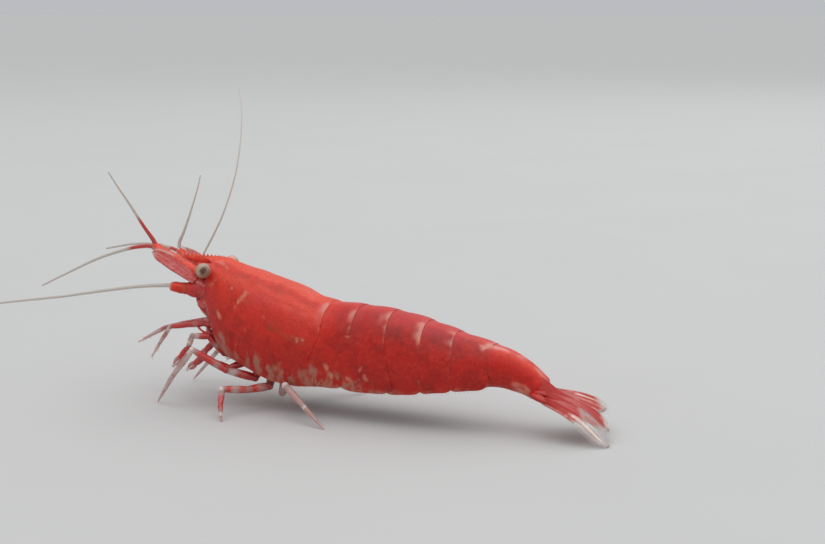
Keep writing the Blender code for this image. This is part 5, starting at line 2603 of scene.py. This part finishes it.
@dataclass
class SwimmingFeet(LimbedAssembly):
    """A pair of leaf-shaped swimming feet under each of the first five plates."""

    pairs: int = 5
    stem_radii: tuple[float, ...] = (0.16, 0.2, 0.2, 0.12)
    leaf_cells: tuple[int, int] = (16, 9)
    leaf_wall: float = 0.05
    leaves: tuple[Point, ...] = ((0.22, 0.07, 0.66), (0.05, -0.1, 0.56))
    fringe_hairs: int = 26

    def build(self) -> None:
        """Build and dress the ten feet and their fringes."""
        hairs = BristleField("bristles_swimming_feet", 16, thick=0.018)
        for index in range(self.pairs):
            for side in Side:
                self._foot(index, side, hairs)
        hairs.build(self.finishes, Slot.LIMB)

    def _foot(self, index: int, side: Side, hairs: BristleField) -> None:
        """One foot: a short stem and two leaves, one behind the other.

        Args:
            index: The pair's number, from 0.
            side: The side.
            hairs: Takes the hairs.
        """
        name = f"swimmeret_{index + 1}_{side.label}"
        low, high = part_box(name)
        middle = (low + high) / 2
        tall = high.z - low.z
        top = Vector((low.x + 0.35 * (high.x - low.x), middle.y, high.z))
        fork = Vector((middle.x, middle.y, blend(high.z, low.z, 0.38)))
        path = [top + Vector((0, 0, 0.25 * MM)), top, top.lerp(fork, 0.6), fork]
        pieces = [self.lobe(f"{name}_stem", path, self.stem_radii, 0.5, 0.25, 0.7)]
        for turn, (lean, aside, long) in enumerate(self.leaves):
            across = Vector((1.0, 0.25 * side.value, lean)).normalized()
            leaf = Leaf(fork, fork + Vector((lean * tall, 0, -long * tall)), across, aside * side.value)
            piece, ways = Bench.sheet(f"{name}_leaf_{turn}", self.leaf_cells, leaf.at)
            Bench.paint(piece, red=[0.75 * fade(0.3, 0.75, u) for u, _v in ways],
                        pale=[0.3 * hump(0.5, 0.15, v) for _u, v in ways])
            Bench.thicken(piece, self.leaf_wall, 0.0)
            pieces.append(piece)
            for k in range(self.fringe_hairs):
                row, edge = divmod(k, 2)
                part = 0.35 + 0.65 * row / (self.fringe_hairs // 2 - 1)
                root = leaf.at(part, float(edge))
                away = across * (2 * edge - 1) + Vector((0, 0, -1.4 - part))
                size = min(hairs.draw.uniform(0.16, 0.3), max(root.z / MM - 0.1, 0.05))
                hairs.grow(root, away, size, (0.2 * index + 0.1 * part, 0.5 + 0.3 * side.value))
        Bench.hand_over(Bench.join(pieces, name), self.finishes.limb, Slot.LIMB, (name,))


LEAF = Profile((
    (0.0, 0.03), (0.06, 0.16), (0.15, 0.28), (0.35, 0.45), (0.6, 0.56), (0.8, 0.55), (0.93, 0.38),
    (1.0, 0.04)))
SPIKE = Profile((
    (0.0, 0.3), (0.12, 0.44), (0.3, 0.44), (0.65, 0.35), (0.9, 0.26), (0.97, 0.18), (1.0, 0.03)))


@dataclass(frozen=True)
class Blade:
    """How one tail blade leaves the fan's root, spreads, falls and rolls, and what it looks like.

    The side is -1 on the left and 1 on the right. The fringe is where its hairs start and
    how many they are.
    """

    ahead: float
    aside: float
    below: float
    splay: float
    fall: float
    droop: float
    roll: float
    length: float
    side: int
    red_to: float
    outer: bool = False
    outline: Profile = LEAF
    fringe: tuple[float, int] = (0.42, 90)


@dataclass
class TailFan(LimbedAssembly):
    """The telson in the middle, and an inner and an outer blade on each side of it."""

    root: Point = (12.27, 0.46, 2.52)
    heading: Point = (2.39, 0.45, 0.0)
    rest_height: float = 0.07
    wall: float = 0.07
    cells: tuple[int, int] = (64, 30)
    stem_radii: tuple[float, ...] = (0.26, 0.32, 0.26, 0.16, 0.04)
    blades: dict[str, Blade] = field(default_factory=lambda: {
        "telson": Blade(0.85, 0.0, -0.5, 0.0, 1.65, -0.15, 12.0, 3.25, 1, 1.12, False, SPIKE, (0.93, 16)),
        "tail_inner_left": Blade(0.3, 0.44, 0.27, 0.06, 0.58, 0.9, 20.0, 3.4, -1, 1.02),
        "tail_outer_left": Blade(0.3, 0.85, 0.5, 0.17, 0.34, 1.6, 30.0, 3.5, -1, 0.7, True),
        "tail_inner_right": Blade(0.2, 0.44, 0.26, 0.08, 0.75, 0.1, 12.0, 2.9, 1, 1.05),
        "tail_outer_right": Blade(0.2, 0.8, 0.36, 0.18, 0.55, 0.3, 20.0, 2.9, 1, 0.98, True),
    })

    def build(self) -> None:
        """Build and dress the five blades, their stems and their fringe."""
        hairs = BristleField("bristles_tail", 17, thick=0.017)
        for name, blade in self.blades.items():
            piece = self._blade(name, blade)
            if blade.outline is LEAF:
                piece = Bench.join([piece, self._stem(name, blade)], name)
            Bench.hand_over(piece, self.finishes.fan, Slot.SHELL, (name,))
            self._fringe(blade, hairs)
        hairs.build(self.finishes, Slot.SHELL)

    def _line(self, blade: Blade, part: float) -> tuple[Vector, Vector, Vector]:
        """Where a blade's middle line runs.

        Args:
            blade: The blade.
            part: Part of its length.

        Returns:
            The point, the direction along and the direction across, in millimetres.
        """
        heading = Vector(self.heading).normalized()
        across = Vector((-heading.y, heading.x, 0.0))
        start = Vector(self.root) + across * (blade.aside * blade.side) - heading * blade.ahead
        start.z -= blade.below
        run = heading + across * (blade.splay * blade.side)
        drop = blade.fall * part + blade.droop * part**2.7
        point = start + run * (blade.length * part) - Vector((0, 0, drop + 0.16 * part))
        steepness = (blade.fall + 2.7 * blade.droop * part**1.7) / blade.length
        if point.z < self.rest_height:
            point.z = self.rest_height
            steepness = 0.0
        tangent = (run - Vector((0, 0, steepness))).normalized()
        roll = math.radians(blade.roll) * (1 - 0.7 * soft_step(0.6, 0.1, point.z))
        lean = across * math.cos(roll) + tangent.cross(across) * math.sin(roll)
        return point, tangent, lean.normalized()

    def _surface(self, blade: Blade, u: float, v: float) -> Vector:
        """Point of a blade, part u along it and part v across it, in metres.

        Args:
            blade: The blade.
            u: The part of the way along, from 0 to 1.
            v: The part of the way across or round, from 0 to 1.

        Returns:
            The point, in metres.
        """
        point, tangent, lean = self._line(blade, u)
        across = 2 * v - 1
        up = tangent.cross(lean)
        up = up if up.z > 0 else -up
        arch = 0.34 if blade.outline is SPIKE else 0.14
        rib = 0.05 * hump(0.0, 0.13, across) * (1 - 0.7 * u) - arch * across * across * (1 - u)
        edge = 0.03 * hump(0.93, 0.06, abs(across))
        pleat = 0.012 * math.cos(across * 22.0) * soft_step(0.35, 0.7, u)
        thick_root = 0.12 * hump(0.16, 0.14, u) * (1 - across * across)
        spot = point + lean * (blade.outline.at(u) * across) + up * (rib + edge + pleat + thick_root)
        spot.z = max(spot.z, 0.6 * self.rest_height)
        return self.body.place(*spot)

    def _blade(self, name: str, blade: Blade) -> Piece:
        """One thin blade with its midrib and soft pleats.

        Args:
            name: The piece's name.
            blade: The blade.

        Returns:
            The blade's sheet.
        """
        sheet, ways = Bench.sheet(name, self.cells, lambda u, v: self._surface(blade, u, v))
        streak = 0.85 if blade.outer else 0.45
        red, pale, rib = [], [], []
        for u, v in ways:
            middle = abs(2 * v - 1)
            outward = v if blade.side > 0 else 1 - v
            red.append(fade(blade.red_to - 0.2, blade.red_to + 0.12, u + 0.12 * middle))
            pale.append(streak * hump(0.7, 0.15 - 0.08 * u, outward) * soft_step(0.38, 0.52, u)
                        * fade(0.85, 1.0, u) + 0.3 * soft_step(0.86, 1.0, u)
                        + 0.5 * streak * soft_step(0.75, 0.97, outward) * fade(0.4, 0.6, u))
            rib.append(hump(0.0, 0.14, middle) * (1 - 0.6 * u))
        Bench.paint(sheet, red=red, pale=pale, rib=rib)
        Bench.thicken(sheet, self.wall, 0.0)
        return sheet

    def _stem(self, name: str, blade: Blade) -> Piece:
        """The short stem that carries a blade, rooted in the sixth segment.

        Args:
            name: The blade's name.
            blade: The blade.

        Returns:
            The stem.
        """
        first, second, third = (self._line(blade, part)[0] for part in (0.0, 0.12, 0.3))
        wide = 0.42 * blade.side * (1.2 if blade.outer else 0.8)
        inside = Vector(self.root) + Vector((-0.75, wide, -0.3))
        path = self.path([inside, inside.lerp(first, 0.55), first.lerp(second, 0.3), second, third])
        stem = self.lobe(f"{name}_stem", path, self.stem_radii, 1.0, 0.12, 0.62)
        Bench.paint(stem, rib=1.0)
        return stem

    def _fringe(self, blade: Blade, hairs: BristleField) -> None:
        """Long hairs round the end of a blade.

        Args:
            blade: The blade.
            hairs: Takes the hairs.
        """
        start, count = blade.fringe
        for k in range(count):
            row, edge = divmod(k, 2)
            part = min(start + (1 - start) * row / (count // 2 - 1), 0.995)
            root = self._surface(blade, part, float(edge))
            _point, tangent, lean = self._line(blade, part)
            away = tangent * (0.8 + 2.2 * soft_step(0.75, 1.0, part)) + lean * (2 * edge - 1)
            away.z = max(away.z, -0.02 if root.z < 0.0003 else away.z)
            size = hairs.draw.uniform(0.22, 0.36) * (0.55 + 0.45 * soft_step(start, 0.8, part))
            hairs.grow(root, away, size, (0.5 + 0.4 * part, 0.5 + 0.1 * blade.side * (1 + edge)))


# --------------------------------------------------------------------------- studio


@dataclass
class Studio(Assembly):
    """Plain pale floor, soft lights and the camera."""

    eye: Point = (36.547, -67.639, 20.964)
    azimuth: float = 25.0
    dip: float = 10.0
    lens: float = 65.02
    film: float = 36.0
    floor_size: float = 9.0
    aim_height: float = 4.0
    lights: tuple[tuple[str, str, Point, float, float], ...] = (
        ("sky_panel", "SUN", (0.03, -0.06, 0.3), math.radians(100.0), 1.3),
        ("key_light", "AREA", (0.0, -0.03, 0.3), 0.2, 0.11),
        ("back_light", "AREA", (0.05, 0.24, 0.22), 0.2, 0.13))
    room: Colour = (0.93, 0.95, 1.0)
    room_strength: float = 0.53

    def build(self) -> None:
        """Lay the floor, hang the lights and set the camera."""
        Bench.select()
        bpy.ops.mesh.primitive_plane_add(size=self.floor_size, location=(0, 0, 0))
        floor = bpy.context.object
        floor.name = "floor"
        floor.data.materials.append(self.finishes.floor)
        for light in self.lights:
            self._light(*light)
        world = bpy.data.worlds.new("pale_room")
        world.use_nodes = True
        background = world.node_tree.nodes["Background"]
        background.inputs["Color"].default_value = (*self.room, 1.0)
        background.inputs["Strength"].default_value = self.room_strength
        bpy.context.scene.world = world
        self._camera()
        bpy.context.scene.view_settings.view_transform = "Standard"

    def _light(self, name: str, kind: str, place: Point, size: float, power: float) -> None:
        """Hang one soft light that looks at the animal.

        Args:
            name: The light's name.
            kind: AREA for a near panel, or SUN for an even sky.
            place: Where it hangs, in metres.
            size: Its width, in metres, or in radians for a sky.
            power: Its power in watts, or in watts on each square metre for a sky.
        """
        target = self.body.place(0.0, 0.0, self.aim_height)
        turn = (Vector(place) - target).to_track_quat("Z", "Y").to_euler()
        bpy.ops.object.light_add(type=kind, location=place, rotation=turn)
        lamp = bpy.context.object
        lamp.name = name
        lamp.data.energy = power
        if kind == "SUN":
            lamp.data.angle = size
        else:
            lamp.data.size = size

    def _camera(self) -> None:
        """Stand the camera at the animal's left, a little above and behind its middle."""
        turn = (math.radians(90.0 - self.dip), 0.0, math.radians(self.azimuth))
        bpy.ops.object.camera_add(location=self.body.place(*self.eye), rotation=turn)
        camera = bpy.context.object
        camera.name = "camera"
        camera.data.lens = self.lens
        camera.data.sensor_width = self.film
        camera.data.clip_start = 0.001
        camera.data.clip_end = 10.0
        bpy.context.scene.camera = camera


# --------------------------------------------------------------------------- the animal


def main() -> None:
    """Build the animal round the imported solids, and the studio round the animal."""
    logging.basicConfig(level=logging.INFO, format="%(name)s: %(message)s")
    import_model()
    plan = BodyPlan.from_frame()
    finishes = Finishes()
    for assembly in (Core, Carapace, Abdomen, Eyes, Feelers, MouthFeet, WalkingLegs, SwimmingFeet,
                     TailFan, Studio):
        assembly(plan, finishes).build()


if __name__ == "__main__":
    main()
